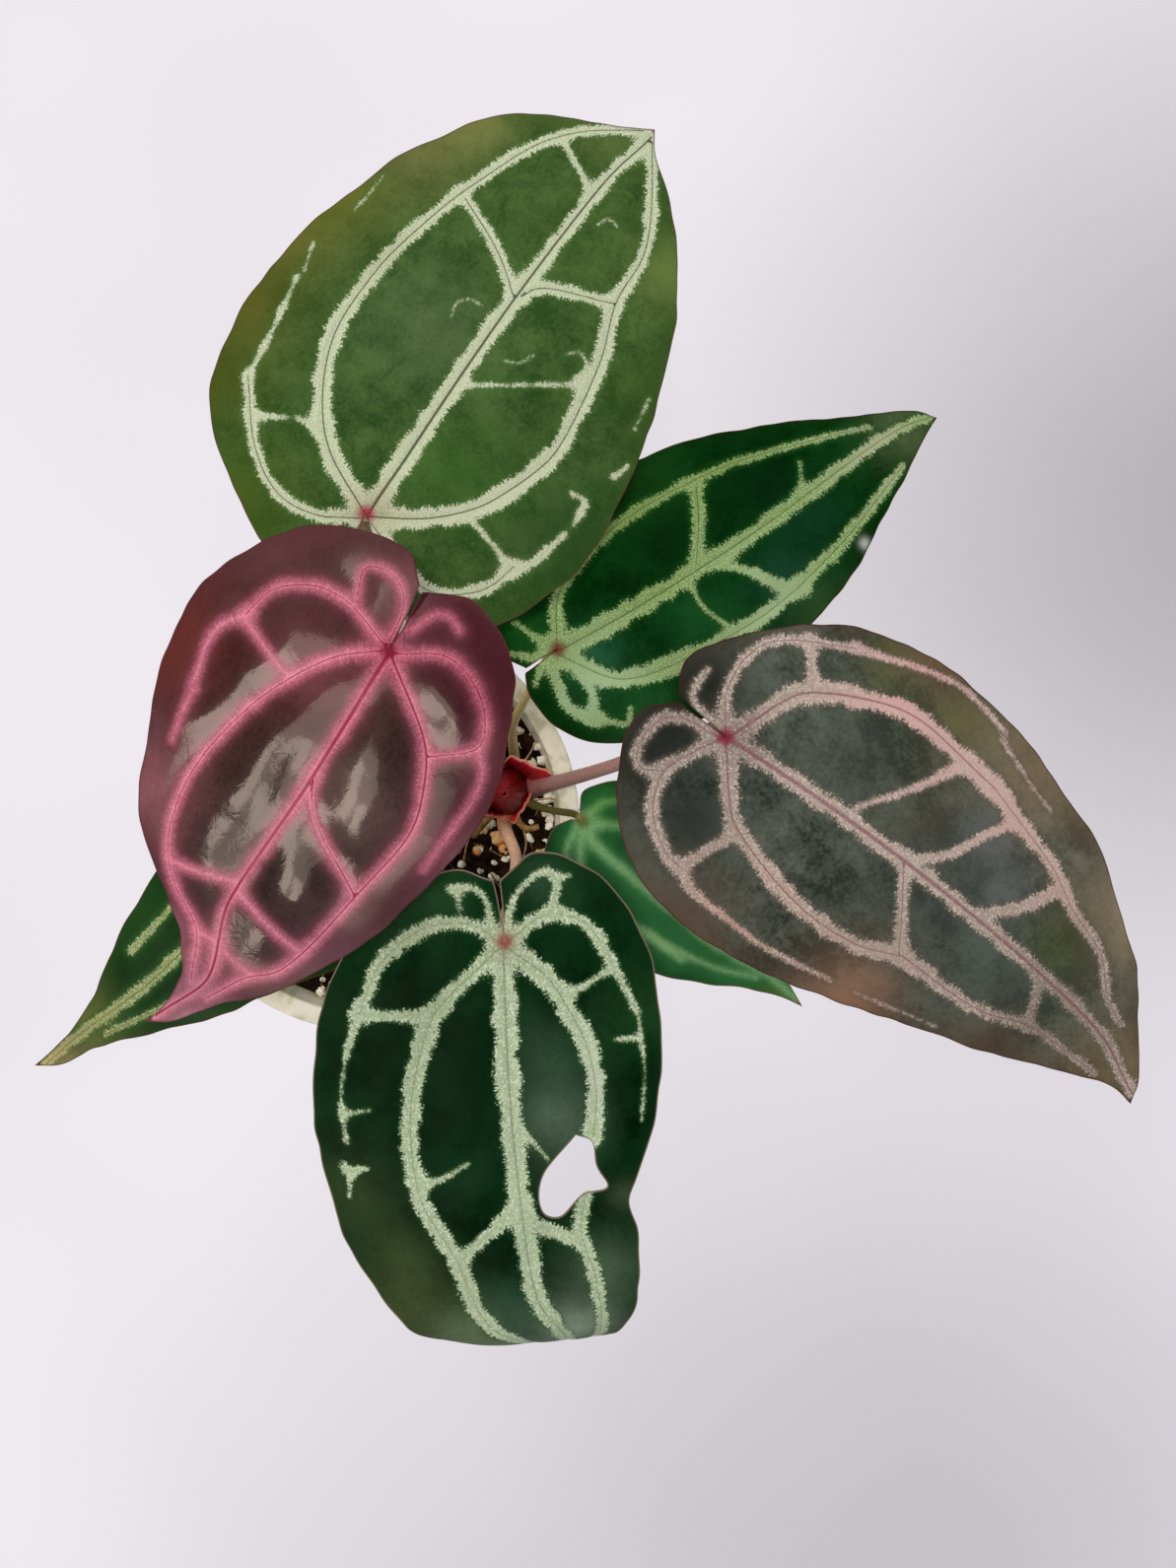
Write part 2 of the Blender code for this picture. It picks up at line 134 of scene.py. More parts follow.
def bumpFrom(tree, height, strength, depth):
    return addNode(tree, "ShaderNodeBump", None, {
        "Height": height, "Strength": strength, "Distance": depth * mm})


def addPiece(name, mesh, materials=()):
    for material in materials:
        mesh.materials.append(material)
    piece = bpy.data.objects.new(name, mesh)
    bpy.context.scene.collection.objects.link(piece)
    return piece


def settle(piece, slot, *nodes):
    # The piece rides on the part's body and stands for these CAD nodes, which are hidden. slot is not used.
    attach(piece, joinName)
    if nodes:
        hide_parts(*nodes)


def evenly(line, steps):
    # The same line with its points evenly spaced.
    reach = np.concatenate([[0], np.cumsum(np.linalg.norm(np.diff(line, axis=0), axis=1))])
    at = np.linspace(0, reach[-1], steps + 1)
    return np.column_stack([np.interp(at, reach, column) for column in line.T])


def smoothLine(points, steps):
    # Evenly spaced points along a centripetal Catmull-Rom curve through the given ones.
    given = [np.array(p, float) for p in points]
    run = [2 * given[0] - given[1], *given, 2 * given[-1] - given[-2]]
    dense = []
    for a, b, c, d in zip(run, run[1:], run[2:], run[3:]):
        t1 = np.linalg.norm(b - a) ** 0.5
        t2 = t1 + np.linalg.norm(c - b) ** 0.5
        t3 = t2 + np.linalg.norm(d - c) ** 0.5
        for t in np.linspace(t1, t2, 12, endpoint=False):  # twelve places from each point to the next
            ab = a + (b - a) * t / t1
            bc = b + (c - b) * (t - t1) / (t2 - t1)
            cd = c + (d - c) * (t - t2) / (t3 - t2)
            left = ab + (bc - ab) * t / t2
            right = bc + (cd - bc) * (t - t1) / (t3 - t1)
            dense.append(left + (right - left) * (t - t1) / (t2 - t1))
    return evenly(np.array(dense + [given[-1]]), steps)


def reachOf(line):
    return float(np.linalg.norm(np.diff(line, axis=0), axis=1).sum())


def nearLine(points, line):
    # For each point: how far the line is, on which side of it, and how far along it the nearest place is.
    start, step = line[:-1], np.diff(line, axis=0)
    length = np.maximum(np.linalg.norm(step, axis=1), 1e-9)
    before = np.concatenate([[0], np.cumsum(length)[:-1]])
    found = []
    for block in np.array_split(points, len(points) // 2000 + 1):
        offset = block[:, None] - start
        share = np.clip((offset * step).sum(2) / length ** 2, 0, 1)
        apart = np.linalg.norm(offset - share[..., None] * step, axis=2)
        best = apart.argmin(1)
        row = np.arange(len(block))
        toSide = step[best, 0] * offset[row, best, 1] - step[best, 1] * offset[row, best, 0]
        found.append(np.column_stack([apart[row, best], np.where(toSide > 0, 1, -1),
                                      before[best] + share[row, best] * length[best]]))
    return np.vstack(found).T


def insideLoop(points, loop):
    # Even-odd test of which points a closed loop holds.
    inside = np.zeros(len(points), bool)
    for (x1, y1), (x2, y2) in zip(loop, np.roll(loop, -1, axis=0)):
        crosses = (y1 > points[:, 1]) != (y2 > points[:, 1])
        at = x1 + (points[:, 1] - y1) * (x2 - x1) / (y2 - y1 if y2 != y1 else 1)
        inside ^= crosses & (points[:, 0] < at)
    return inside


# Camera: straight above, half a metre over the rim, framed as the photograph
photoHeight = 1591  # pixels, which set the lens
view = {
    "millimetresAPixel": 0.26,  # at the height of the rim, which is 110 mm wide
    "overRim": 500.0,
    "middle": (57.33, 10.53),
    "sensor": 36.0,
}


def makeCamera():
    data = bpy.data.cameras.new("camera")
    data.sensor_width = view["sensor"]
    data.lens = view["sensor"] * view["overRim"] / (photoHeight * view["millimetresAPixel"])
    camera = bpy.data.objects.new("camera", data)
    camera.location = (view["middle"][0] * mm, view["middle"][1] * mm, (rim + view["overRim"]) * mm)
    bpy.context.scene.collection.objects.link(camera)
    bpy.context.scene.camera = camera


# Light: a white room, a soft lamp straight overhead that keeps its shadows under the leaves, a lamp from the
# upper left without shadows that brings out the swells between the veins, and the panes of a window at the
# lower left, which show only as reflections. Neither the room nor a lamp shows in a reflection.
# Places are in metres.
light = {
    "room": ("#f4f4fa", 0.4),  # colour and strength
    "lamps": {"overhead": dict(lean=(-0.02, 0.02, 1.0), spread=8.0, strength=1.35, shadow=True),
              "fill": dict(lean=(-0.75, 0.6, 0.8), spread=30.0, strength=1.25, shadow=False)},
    "lampColour": "#fffaf4",
    "panes": (((-0.54, -0.73, 1.29), (0.80, 1.00), 5.6),  # each pane's place, size and power
              ((-0.42, -0.95, 1.15), (0.30, 0.60), 2.4),
              ((-0.76, -0.66, 1.20), (0.34, 0.60), 2.7)),
    "paneAim": (-0.02, -0.01, 0.17),
    "paneColour": "#ffe9d8",
}
# The floor glows, as a light table does, so that shadows on it stay faint. It carries painted shade towards
# two
# places, to the right and to the bottom: each has its middle, its reach and the share by which it darkens.
# Sizes are metres, and the weave is mm.
floorLook = {"size": 4.0, "colour": "#6c6a6e", "weave": 1.3, "glow": 0.73, "glowColour": "#faf6fc",
             "paintedShades": (((0.265, 0.10, 0), 0.23, 0.45), ((0.16, -0.26, 0), 0.30, 0.34))}


def makeLight():
    world = bpy.data.worlds.new("whiteRoom")
    world.use_nodes = True
    colour, strength = light["room"]
    world.node_tree.nodes["Background"].inputs["Color"].default_value = linear(colour)
    world.node_tree.nodes["Background"].inputs["Strength"].default_value = strength
    world.cycles_visibility.glossy = False
    bpy.context.scene.world = world
    bpy.context.scene.view_settings.view_transform = "Standard"
    for name, lamp in light["lamps"].items():
        data = bpy.data.lights.new(name, "SUN")
        data.energy, data.angle, data.use_shadow = lamp["strength"], radians(lamp["spread"]), lamp["shadow"]
        data.color = linear(light["lampColour"])[:3]
        thing = bpy.data.objects.new(name, data)
        thing.rotation_euler = Vector(lamp["lean"]).to_track_quat("Z", "Y").to_euler()
        thing.visible_glossy = False
        bpy.context.scene.collection.objects.link(thing)
    for place, size, power in light["panes"]:
        data = bpy.data.lights.new("pane", "AREA")
        data.shape = "RECTANGLE"
        data.size, data.size_y = size
        data.energy, data.color = power, linear(light["paneColour"])[:3]
        thing = bpy.data.objects.new("pane", data)
        thing.location = place
        thing.rotation_euler = (Vector(light["paneAim"]) - Vector(place)).to_track_quat("-Z", "Y").to_euler()
        thing.visible_diffuse = False
        bpy.context.scene.collection.objects.link(thing)


def makeFloor():
    # Photo board: matt laminated card with a faint woven grain, glowing from within, with painted shade
    # towards two places
    material, tree, shader = newMaterial("mattCard", {
        "Roughness": 0.75, "Specular IOR Level": 0.2, "Emission Color": linear(floorLook["glowColour"])})
    place = objectPlace(tree)
    tone = mapped(tree, noiseOver(tree, place, 5.0, 2.0), 0.3, 0.7, 0.94, 1.03)
    # Painted shade: the floor's colour and glow both darken towards two places
    for middle, reach, share in floorLook["paintedShades"]:
        apart = addNode(tree, "ShaderNodeVectorMath", {"operation": "DISTANCE"}, {0: place, 1: middle})
        paintedShade = mapped(tree, apart.outputs["Value"], 0.0, reach, 1 - share, 1.0, smooth=True)
        tone = maths(tree, "MULTIPLY", tone, paintedShade)
    paint = blend(tree, tone, "#000000", floorLook["colour"])
    glow = maths(tree, "MULTIPLY", tone, floorLook["glow"])
    weave = noiseOver(tree, place, 1 / (floorLook["weave"] * mm), 1.0)
    joinShader(tree, shader, {
        "Base Color": paint, "Emission Strength": glow, "Normal": bumpFrom(tree, weave, 0.25, 0.1)})
    half = floorLook["size"] / 2
    corners = [(-half, -half, 0), (half, -half, 0), (half, half, 0), (-half, half, 0)]
    mesh = bpy.data.meshes.new("floor")
    mesh.from_pydata(corners, [], [(0, 1, 2, 3)])
    addPiece("floor", mesh, [material])


# Blades: the mesh's grain, the relief along the veins, and how far a band's width wanders along it
blade = {
    "thickness": 0.7, "grain": 0.75, "ridge": 0.7, "ridgeReach": 0.9, "groove": 0.22, "grooveReach": 0.7,
    "marginReach": 5, "sharpOver": 50, "web": 0.9, "scallop": 0.45, "wander": 0.28, "wanderEvery": 2.6,
    "mainVein": 1.5,  # a vein that starts wider than this dents the blade
}
attributeNames = ("leafPlace", "veinPlace", "veinBand", "veinGap", "veinHalf", "veinLine", "marginGap",
                  "leafTintAndPaintedLight", "bandTint")


def vein(start, end, *path, line=0.0, broken=0.0):
    # A silver band: its width at both ends, the line along its middle, and how far it breaks up into dots.
    return dict(start=start, end=end, path=path, line=line, broken=broken)


# Leaves. joint is where blade meets stalk: x, y and height over the rim. heading is the midrib's direction in
# degrees from the X axis. Outlines, veins and tints are millimetres ahead of and to the left of the joint.
# half is the blade's half width, fall how far its tip hangs and arch how far its margins hang. roll tilts it,
# lift raises each lobe, wave ripples the margin so many times, and quilt puffs up the panels between main
# veins. swell is the span and height of broad swells, and curl says where the tip starts to roll under, with
# its radius and turn. stalk is the bearing and height at which the stalk leaves the stem, and its radius low
# and high, and it runs through passes. A tint is its place, reach, colour and strength.
# Tints are partly the leaf's own colours and partly painted light: painted shade in folds and shaded lobes,
# and painted sheen and reflection haze.
leaves = {
    "top": dict(
        joint=(6, 73, 62), heading=54.5, length=116, half=50, fall=16, arch=5, roll=0.04,
        lift=(1, 0), wave=0.9, waves=5, quilt=0.8, quiltWidth=6.0, swell=(17, 0.35),
        left=[(-18, -1.5), (-21, 7), (-15, 24), (1, 45.5), (27.5, 52.8), (57.8, 49.4), (86, 38.7), (102, 25),
              (112, 6)],
        right=[(-13, -16), (-13, -30), (-3, -39), (18, -47), (38, -45.5), (60, -40.2), (86, -28.3),
               (103.6, -13.3), (111, -4)],
        stalk=(106, -3, 2.1, 1.5), passes=[(20, 41, 34)],
        veins=[
            vein(4.4, 2.4, (0, -0.5), (64, 2), (100, 1.5), (115, -0.5), line=0.85),
            vein(4.0, 1.8, (0, 0.5), (7.5, 16), (17.5, 25), (31, 31), (46, 32), (60.5, 30.5), (89.5, 22.5),
                 (101, 16.5), (106, 12.5), (114, 2), line=0.4),
            vein(4.1, 2.2, (0, -1), (7.5, -12), (16, -19.5), (22, -22.5), (35, -26.5), (42, -26.5),
                 (62.5, -22.5), (75.5, -17.5), (90.5, -15.5), (114, -1), line=0.4),
            vein(2.6, 1.6, (-1.5, 0.5), (-7, 9.5), (-8, 19), (-3, 29), (10.5, 41.5), line=0.25),
            vein(2.2, 1.2, (10.5, 41.5), (24.5, 43.5), (36.5, 46.5), broken=0.5),
            vein(1.1, 0.8, (39, 46), (45, 48), broken=0.8),
            vein(1.1, 0.6, (57, 45), (68, 44.5), broken=1.0),
            vein(2.0, 0.5, (10, 18.5), (9, 26)),
            vein(0.5, 2.0, (7.5, 28), (3.5, 35)),
            vein(1.8, 2.2, (74.5, 25.5), (68, 11), (61.5, 2), line=0.3),
            vein(1.0, 1.2, (100, 16), (93, 2)),
            vein(2.6, 2.2, (63, 1), (67, -1), (75, -17), line=0.3),
            vein(0.8, 1.0, (38, -1), (44.5, -10), (56, -24), broken=0.35),
            vein(0.9, 1.4, (13.5, -19), (10, -34), broken=0.3),
            vein(0.22, 0.15, (88, -3), (91, -4.5), (90.5, -7)),
            vein(0.22, 0.15, (49, 11), (52.5, 12), (55, 10), (55.5, 7)),
            vein(0.2, 0.15, (48, -5), (49.5, -8), (53, -9.5)),
            vein(0.2, 0.15, (58, -15.5), (60.5, -18), (58.5, -21), (55, -20.5)),
            vein(2.4, 2.4, (-1, -2), (-6, -21.5), (-0.5, -30), (4, -33), (10.5, -34.5), line=0.2),
            vein(2.6, 1.3, (9, -34.5), (14, -37.5), (24, -39.5), broken=0.35),
            vein(2.2, 1.6, (27, -40), (33, -39), (32.5, -35.5), broken=0.6),
            vein(1.8, 1.4, (42, -41), (46, -42), broken=0.7),
            vein(0.8, 0.6, (54, -38.5), (62, -37), broken=1.0)],
        tintsAndPaintedLight=[(25, 56, 14, "#5f5d1a", 0.95), (44, 57, 13, "#676425", 0.9), (60, 53, 14, "#696c27", 0.9),
               (6, 48, 12, "#515515", 0.8), (77, 42, 11, "#737441", 0.85), (92, 35, 10, "#7f8146", 0.75),
               (108, 10, 10, "#6a7540", 0.5), (90, -24, 10, "#6c8040", 0.85), (-14, 25, 14, "#4c6019", 0.7),
               (44, 14, 16, "#5f7450", 0.4), (80, 2, 12, "#4e6a33", 0.4), (20, -12, 12, "#2f6420", 0.5),
               (24, -42, 14, "#1d471f", 0.6), (60, -36, 10, "#38561f", 0.5)],
        bandTints=[(20, -24, 16, "#c6cdae", 0.5), (2, 0, 6, "#a9a083", 0.6), (52, 32, 12, "#a3ad86", 0.5),
                   (-5, -20, 12, "#c3ccb0", 0.4)],
        look=dict(panel="#29491d", panelLight="#4a6733", margin="#30501b", marginWidth=7.0, marginAmount=0.5,
                  halo="#4a6e30", haloWidth=1.6, haloAmount=0.4, band="#bfcaa6", bandDeep="#a9b891",
                  paintedGlint="#dde3cc", bandGain=1.2, fringe=0.9, soft=0.45, line="#4a4432", lineAmount=0.9,
                  edge="#5a3a30", spot="#a03048", under="#7d9268", underVein="#a8ad84", gloss=0.5,
                  shine=0.15)),
    "right": dict(
        joint=(50, 43.5, 38), heading=32, length=113, half=32, fall=18, arch=5, roll=-0.05,
        lift=(0, 1), wave=0.9, waves=4, quilt=0.9, quiltWidth=5.0, swell=(17, 0.35),
        left=[(-9, 0.2), (-12.5, 7), (-7, 18.5), (10, 28), (30, 31), (50, 29.1), (72.2, 22), (93, 12),
              (109, 4.5)],
        right=[(-10, -0.8), (-12, -8), (-7.5, -21), (8, -31), (24, -33), (46, -30.3), (72.5, -22.5),
               (96.2, -9), (107, -3)],
        stalk=(76, -1, 1.5, 1.2), passes=[(38.5, 26, 20), (43, 34, 29)],
        veins=[
            vein(3.8, 1.9, (-1, -0.5), (19, -1.5), (55, -1), (103.5, 2.5), (112, 1), line=0.45),
            vein(2.6, 0.8, (0, 0.5), (6.5, 10.5), (12, 14), (29, 18.5), (60, 17), (96.5, 7), line=0.3),
            vein(3.8, 2.6, (-0.5, -1.5), (7.5, -13), (12.5, -16), (25, -18.5), (47.5, -19.5), (60, -18),
                 line=0.3),
            vein(3.0, 1.4, (60, -18), (77.5, -13.5), (98, -6), line=0.2),
            vein(2.0, 2.2, (-1.5, -1.5), (-4, -4.5), (-5, -13), (-3.5, -17), (-1, -20)),
            vein(1.4, 1.6, (1.5, -7.5), (1.5, -13), (-1.5, -19)),
            vein(2.0, 1.6, (1, -21.5), (5, -24.5), (7.5, -21.5), broken=0.5),
            vein(1.0, 0.8, (-4.5, -0.5), (-9.5, -4.5)),
            vein(2.2, 2.2, (51, 16.5), (46, 8), (40, 0), line=0.2),
            vein(1.0, 2.4, (44, -2.5), (48.5, -7), (57, -17.5)),
            vein(0.7, 0.5, (36, -4), (35.5, -9.5), (38.5, -17)),
            vein(0.5, 0.4, (76, 8), (73, 3), (70, 1)),
            vein(1.4, 1.0, (-1, 0), (-5.5, 11), broken=0.3),
            vein(1.5, 1.2, (-2, 0), (-7, 2), (-10, 5), broken=0.3)],
        # The bluish teal tints are painted reflection haze, and the small pale spot is a shiny scar with its
        # painted highlight.
        tintsAndPaintedLight=[(57, -15, 8, "#1a4636", 0.85), (70, -5, 9, "#123a28", 0.7), (34, -14, 9, "#1f5a2c", 0.7),
               (6, -7, 7, "#2f6a4c", 0.7), (10, -26, 11, "#245c2c", 0.8), (60, -26, 9, "#33542c", 0.8),
               (40, 10, 12, "#03260a", 0.8), (66, 9, 12, "#03240a", 0.8), (40, 26, 14, "#174112", 0.6),
               (104, 2, 9, "#64744e", 0.6), (-5, 5, 7, "#1e5a22", 0.6), (79.5, -17.5, 1.5, "#cfd6cc", 0.9)],
        bandTints=[(95, 2, 14, "#a4ab8a", 0.8), (8, -12, 10, "#a9c79c", 0.7), (50, -19, 14, "#a3bd92", 0.8),
                   (30, 18, 16, "#6b8744", 0.85), (62, 16, 12, "#708c49", 0.8), (-2, -14, 7, "#9fc09a", 0.6)],
        look=dict(panel="#012604", panelLight="#0b3a12", margin="#0c3008", marginWidth=5.0, marginAmount=0.4,
                  halo="#1d5018", haloWidth=1.8, haloAmount=0.45, band="#809d60", bandDeep="#6f8d4b",
                  paintedGlint="#b7cc9c", bandGain=1.35, fringe=1.0, soft=0.5, line="#465130", lineAmount=0.7,
                  edge="#3a2018", spot="#6f3a30", under="#5d7f52", underVein="#93a26c", gloss=0.46,
                  shine=0.05)),
    "pink": dict(
        joint=(15, 39, 98), heading=-126, length=104, half=40, fall=40, arch=6, roll=0.0,
        lift=(-1, 1.5), wave=1.0, waves=4, quilt=1.7, quiltWidth=6.5, swell=(13, 0.6),
        left=[(-14, -0.6), (-18.5, 8), (-13.5, 22), (0, 31), (18, 37), (40, 35.5), (62, 30), (76, 23),
              (90, 12), (99, 6)],
        right=[(-15, -2), (-19.5, -8), (-18, -17), (-9, -31.5), (6, -40.1), (20, -42.8), (40, -37.6),
               (61.2, -27.4), (71.5, -16), (80, -4.5), (86, 0.5), (98, 1.5)],
        stalk=(146, -0.5, 2.1, 1.6), passes=[(24, 27, 56)],
        veins=[
            vein(2.8, 2.4, (0, 0.5), (36, 2), (63, 1.5), (69, 2), (84.5, 7), (102, 1), line=1.15),
            vein(2.6, 2.0, (0.5, -0.5), (8, -8.5), (17.5, -14), (30, -18.5), (49.5, -21), (63, -17.5),
                 (71, -11), (76, -2.5), (79, 0.5), (88.5, 4), line=0.2),
            vein(2.4, 1.9, (0.5, 1), (12, 17.5), (19.5, 22.5), (29.5, 26), (46.5, 24.5), (74, 19.5),
                 (79.5, 14), (90, 9), line=0.6),
            vein(1.8, 1.8, (32, 2), (38.5, 6.5), (49, 23.5), line=0.2),
            vein(1.8, 1.8, (63.5, 2), (68, 20.5)),
            vein(1.0, 1.0, (77, 7), (78, 14.5)),
            vein(1.6, 1.8, (67, -14), (61.5, 1)),
            vein(1.4, 1.4, (77, -1), (76, 5)),
            vein(2.2, 1.9, (0, -1), (-2.5, -10), (-3, -14), (-1.5, -21), (4.5, -28), (12.5, -30), line=0.2),
            vein(1.9, 1.3, (12.5, -30), (20, -34), (31.5, -31.5)),
            vein(1.4, 1.4, (13.5, -29.5), (17.5, -14.5)),
            vein(1.6, 1.2, (-1, -1), (-9, -2.5), (-12, -4.5), (-13.5, -8), (-13, -11.5), (-11, -14),
                 (-5, -12), line=0.2),
            vein(2.0, 1.7, (0, 1.5), (-6, 11), (-4.5, 19), (0, 25), (6, 27.5), (14, 20), line=0.2),
            vein(1.3, 0.9, (6, 27.5), (12, 32), (36, 33)),
            vein(0.9, 0.7, (-6, 1.5), (-11.5, 3.5), (-13, 6.5), (-12, 10)),
            vein(1.2, 0.8, (33, -30.5), (45, -28.5))],
        # The dark crimson tints on the left lobe by the joint are painted shade.
        tintsAndPaintedLight=[(25, -41, 18, "#662a24", 0.9), (-8, -32, 18, "#633a3c", 0.8), (56, -27, 12, "#9b5f68", 0.7),
               (80, -6, 7, "#a06070", 0.6), (94, 4, 12, "#c78794", 0.85), (-11, 9, 11, "#521a28", 0.85),
               (-6, 22, 10, "#551c2b", 0.8), (4, 31, 11, "#5f2432", 0.8), (32, 37, 14, "#7d4c5a", 0.7),
               (66, 28, 12, "#7b4f5c", 0.7), (13, -8, 12, "#8a4650", 0.55), (32, 12, 10, "#7c6058", 0.5),
               (-14, -5, 8, "#74444a", 0.6)],
        bandTints=[(2, 0, 6, "#a84058", 0.6), (-4, 18, 12, "#a8455c", 0.6), (-2, -28, 12, "#b9647a", 0.5),
                   (60, 24, 16, "#c9789a", 0.4), (94, 4, 12, "#c9869a", 0.6)],
        look=dict(panel="#1f120f", panelLight="#3a2622", margin="#52262c", marginWidth=12.0, marginAmount=0.5,
                  halo="#733845", haloWidth=3.4, haloAmount=0.7, band="#d26e87", bandDeep="#f499ae",
                  paintedGlint="#e08fa2", bandGain=0.95, fringe=0.45, soft=1.7, line="#8e1238", lineAmount=0.95,
                  edge="#56242c", spot="#7a1030", under="#a8606c", underVein="#d08c94", gloss=0.4, shine=0.3,
                  coat=0.85)),
    "bronze": dict(
        joint=(88, 21, 78), heading=-41, length=135.5, half=42, fall=42, arch=6, roll=0.03,
        lift=(1, -0.5), wave=1.0, waves=5, quilt=1.0, quiltWidth=6.0, swell=(17, 0.35),
        left=[(-14, 0.2), (-18, 7), (-12.5, 19), (2.5, 35.5), (20, 43.8), (40, 46.7), (70.1, 43.5),
              (90.7, 37.5), (107, 28.2), (121, 17.5), (131.7, 6.6)],
        right=[(-13, -1), (-18, -8), (-14, -20), (1, -34), (18, -38), (43, -34.5), (81.5, -20), (104, -11),
               (120.1, -2.9), (130, 0.2)],
        stalk=(8, 1, 2.1, 1.6), passes=[(63, 14.8, 42)],
        veins=[
            vein(3.4, 2.6, (0, 0), (17, 2.5), (50, 6), (90, 8), (118, 7), (134, 2), line=1.3),
            vein(3.8, 3.4, (0.5, 0.5), (5, 15.5), (7, 19), (18, 27), (30, 32), (55.5, 32.5), line=0.75),
            vein(3.4, 1.4, (55.5, 32.5), (78.5, 28.5), (89, 24.5), (102.5, 21.5), (111.5, 14.5), (119, 12.5),
                 line=0.3),
            vein(3.2, 3.0, (0.5, -0.5), (12.5, -12), (17, -14), (38, -17.5), (54.5, -15.5), (64.5, -10.5),
                 line=0.6),
            vein(3.0, 1.3, (64.5, -10.5), (87.5, -8), (99.5, -3), (122, -0.5), line=0.4),
            vein(2.6, 2.2, (0, -0.5), (-2.5, -6), (-5, -15), (-0.5, -23.5), (8.5, -28.5), (12, -28.5),
                 line=0.4),
            vein(2.0, 2.2, (12, -28.5), (16, -15)),
            vein(2.0, 0.9, (13.5, -29), (17, -30.5), (29, -30.5), (40, -29.5), (56.5, -25.5), broken=0.3),
            vein(0.8, 0.6, (62, -24), (83, -17.5), broken=0.6),
            vein(1.9, 1.8, (-1, -1), (-9.5, -3), (-12.5, -5), (-14, -9.5), (-12, -16.5), (-9.5, -17.5),
                 (-5.5, -15), line=0.2),
            vein(1.5, 1.2, (-1, 0.5), (-9.5, 1), (-12, 2.5), (-13, 8.5), broken=0.2),
            vein(2.2, 1.4, (-0.5, 0.5), (-6, 7), (-7.5, 11), (-8, 16.5), (-7, 21), (-3.5, 25.5), (9.5, 34.5),
                 line=0.35),
            vein(1.6, 0.9, (9.5, 34.5), (25, 41.5), (37, 45), (50, 44), broken=0.2),
            vein(0.9, 0.6, (50, 42), (62, 39), (70, 38), broken=0.6),
            vein(1.9, 1.8, (8.5, 20.5), (0, 29)),
            vein(2.0, 0.9, (46.5, 32), (40, 19), (33, 8)),
            vein(1.6, 1.5, (65, 30), (61, 23.5), (56, 13), (50, 7)),
            vein(2.4, 2.4, (84, 26), (79, 17), (72, 8.5)),
            vein(2.0, 2.2, (50, 5.5), (63, -10), line=0.3),
            vein(1.9, 1.9, (94, 7), (100, -3))],
        # The near-black tints by the sinus are painted shade of the folded lobe edges.
        tintsAndPaintedLight=[(-12, -7, 10, "#10110f", 0.9), (-11, 6, 10, "#1c1a16", 0.9), (6, -20, 12, "#1b2522", 0.85),
               (24, 16, 12, "#4c544a", 0.6), (48, 15, 12, "#565245", 0.6), (60, -2, 16, "#424a45", 0.7),
               (90, 1, 14, "#43524a", 0.7), (18, 38, 8, "#5c5c39", 0.9), (40, 39, 10, "#64613c", 0.9),
               (28, 47, 8, "#72573e", 0.8), (62, 44, 16, "#837259", 0.9), (100, 32, 15, "#887b64", 0.95),
               (92, 17, 9, "#485128", 0.8), (72, 17, 8, "#626664", 0.8), (60, 22, 7, "#5e6366", 0.7),
               (22, -36, 12, "#5c483c", 0.8), (62, -26, 13, "#83624d", 0.95), (98, -14, 12, "#5b4737", 0.8),
               (124, 4, 13, "#7d6b4e", 0.85), (-12, -16, 8, "#1d1b18", 0.9)],
        bandTints=[(2, 2, 8, "#6f6058", 0.8), (-10, -9, 9, "#84756c", 0.85), (8, -20, 11, "#8d7d74", 0.8),
                   (30, 32, 22, "#cfa9a3", 0.9), (62, 31, 16, "#c9a79e", 0.8), (86, 26, 13, "#bfa195", 0.6),
                   (24, 43, 12, "#c79a94", 0.8), (30, -29, 14, "#b78f84", 0.8),
                   (62, -24, 14, "#bd8d7a", 0.85), (104, 0, 24, "#7d7163", 0.9),
                   (60, -12, 14, "#9d8f84", 0.8)],
        look=dict(panel="#293129", panelLight="#5a6257", margin="#4f4233", marginWidth=7.0, marginAmount=0.4,
                  halo="#5c564c", haloWidth=1.6, haloAmount=0.45, band="#a99d90", bandDeep="#988d81",
                  paintedGlint="#e0cfc4", bandGain=1.2, fringe=0.9, soft=0.6, line="#7a4550", lineAmount=0.65,
                  edge="#4a1f20", spot="#7a1838", under="#7c4a4a", underVein="#b08078", gloss=0.46,
                  shine=0.08)),
    "front": dict(
        joint=(38, -26, 60), heading=-83.5, length=141, half=44, fall=52, arch=6, roll=0.0,
        lift=(0, 0), wave=0.9, waves=5, curl=(97, 14, 140), quilt=1.0, quiltWidth=6.0, swell=(17, 0.35),
        left=[(-14, 0.4), (-20, 10), (-11, 25), (6, 33), (28, 34), (48, 30.5), (60, 25), (67.5, 21.8),
              (76, 23), (88, 22.3), (98, 20), (110, 15), (126, 7)],
        right=[(-14.5, -0.8), (-18, -9), (-14.5, -21.5), (0, -38.5), (14, -46), (39, -51), (60, -50.4),
               (81, -46), (99, -35), (113, -21.5), (128, -8)],
        hole=[(49, 11), (51, 14.5), (57, 15), (63, 17), (64, 11), (69.5, 4.5), (68, 1.5), (63, 0.5),
              (57, 2.5)],
        stalk=(-93, 0, 1.8, 1.5), passes=[(37.0, -2.6, 17), (39.3, -8, 26)],
        veins=[
            vein(4.6, 3.8, (1, -0.5), (39.5, -3.5), (84, -4), (92, -3), (104, 2), (141, 0), line=0.6),
            vein(3.8, 3.2, (1.5, -1.5), (5.5, -6.5), (14.5, -17.5), (20, -21), (35.5, -26.5), (48.5, -28.5),
                 (62, -28), (79, -21.5), (92, -18.5), (98, -15.5), (108.5, -6), (120, 0), line=0.35),
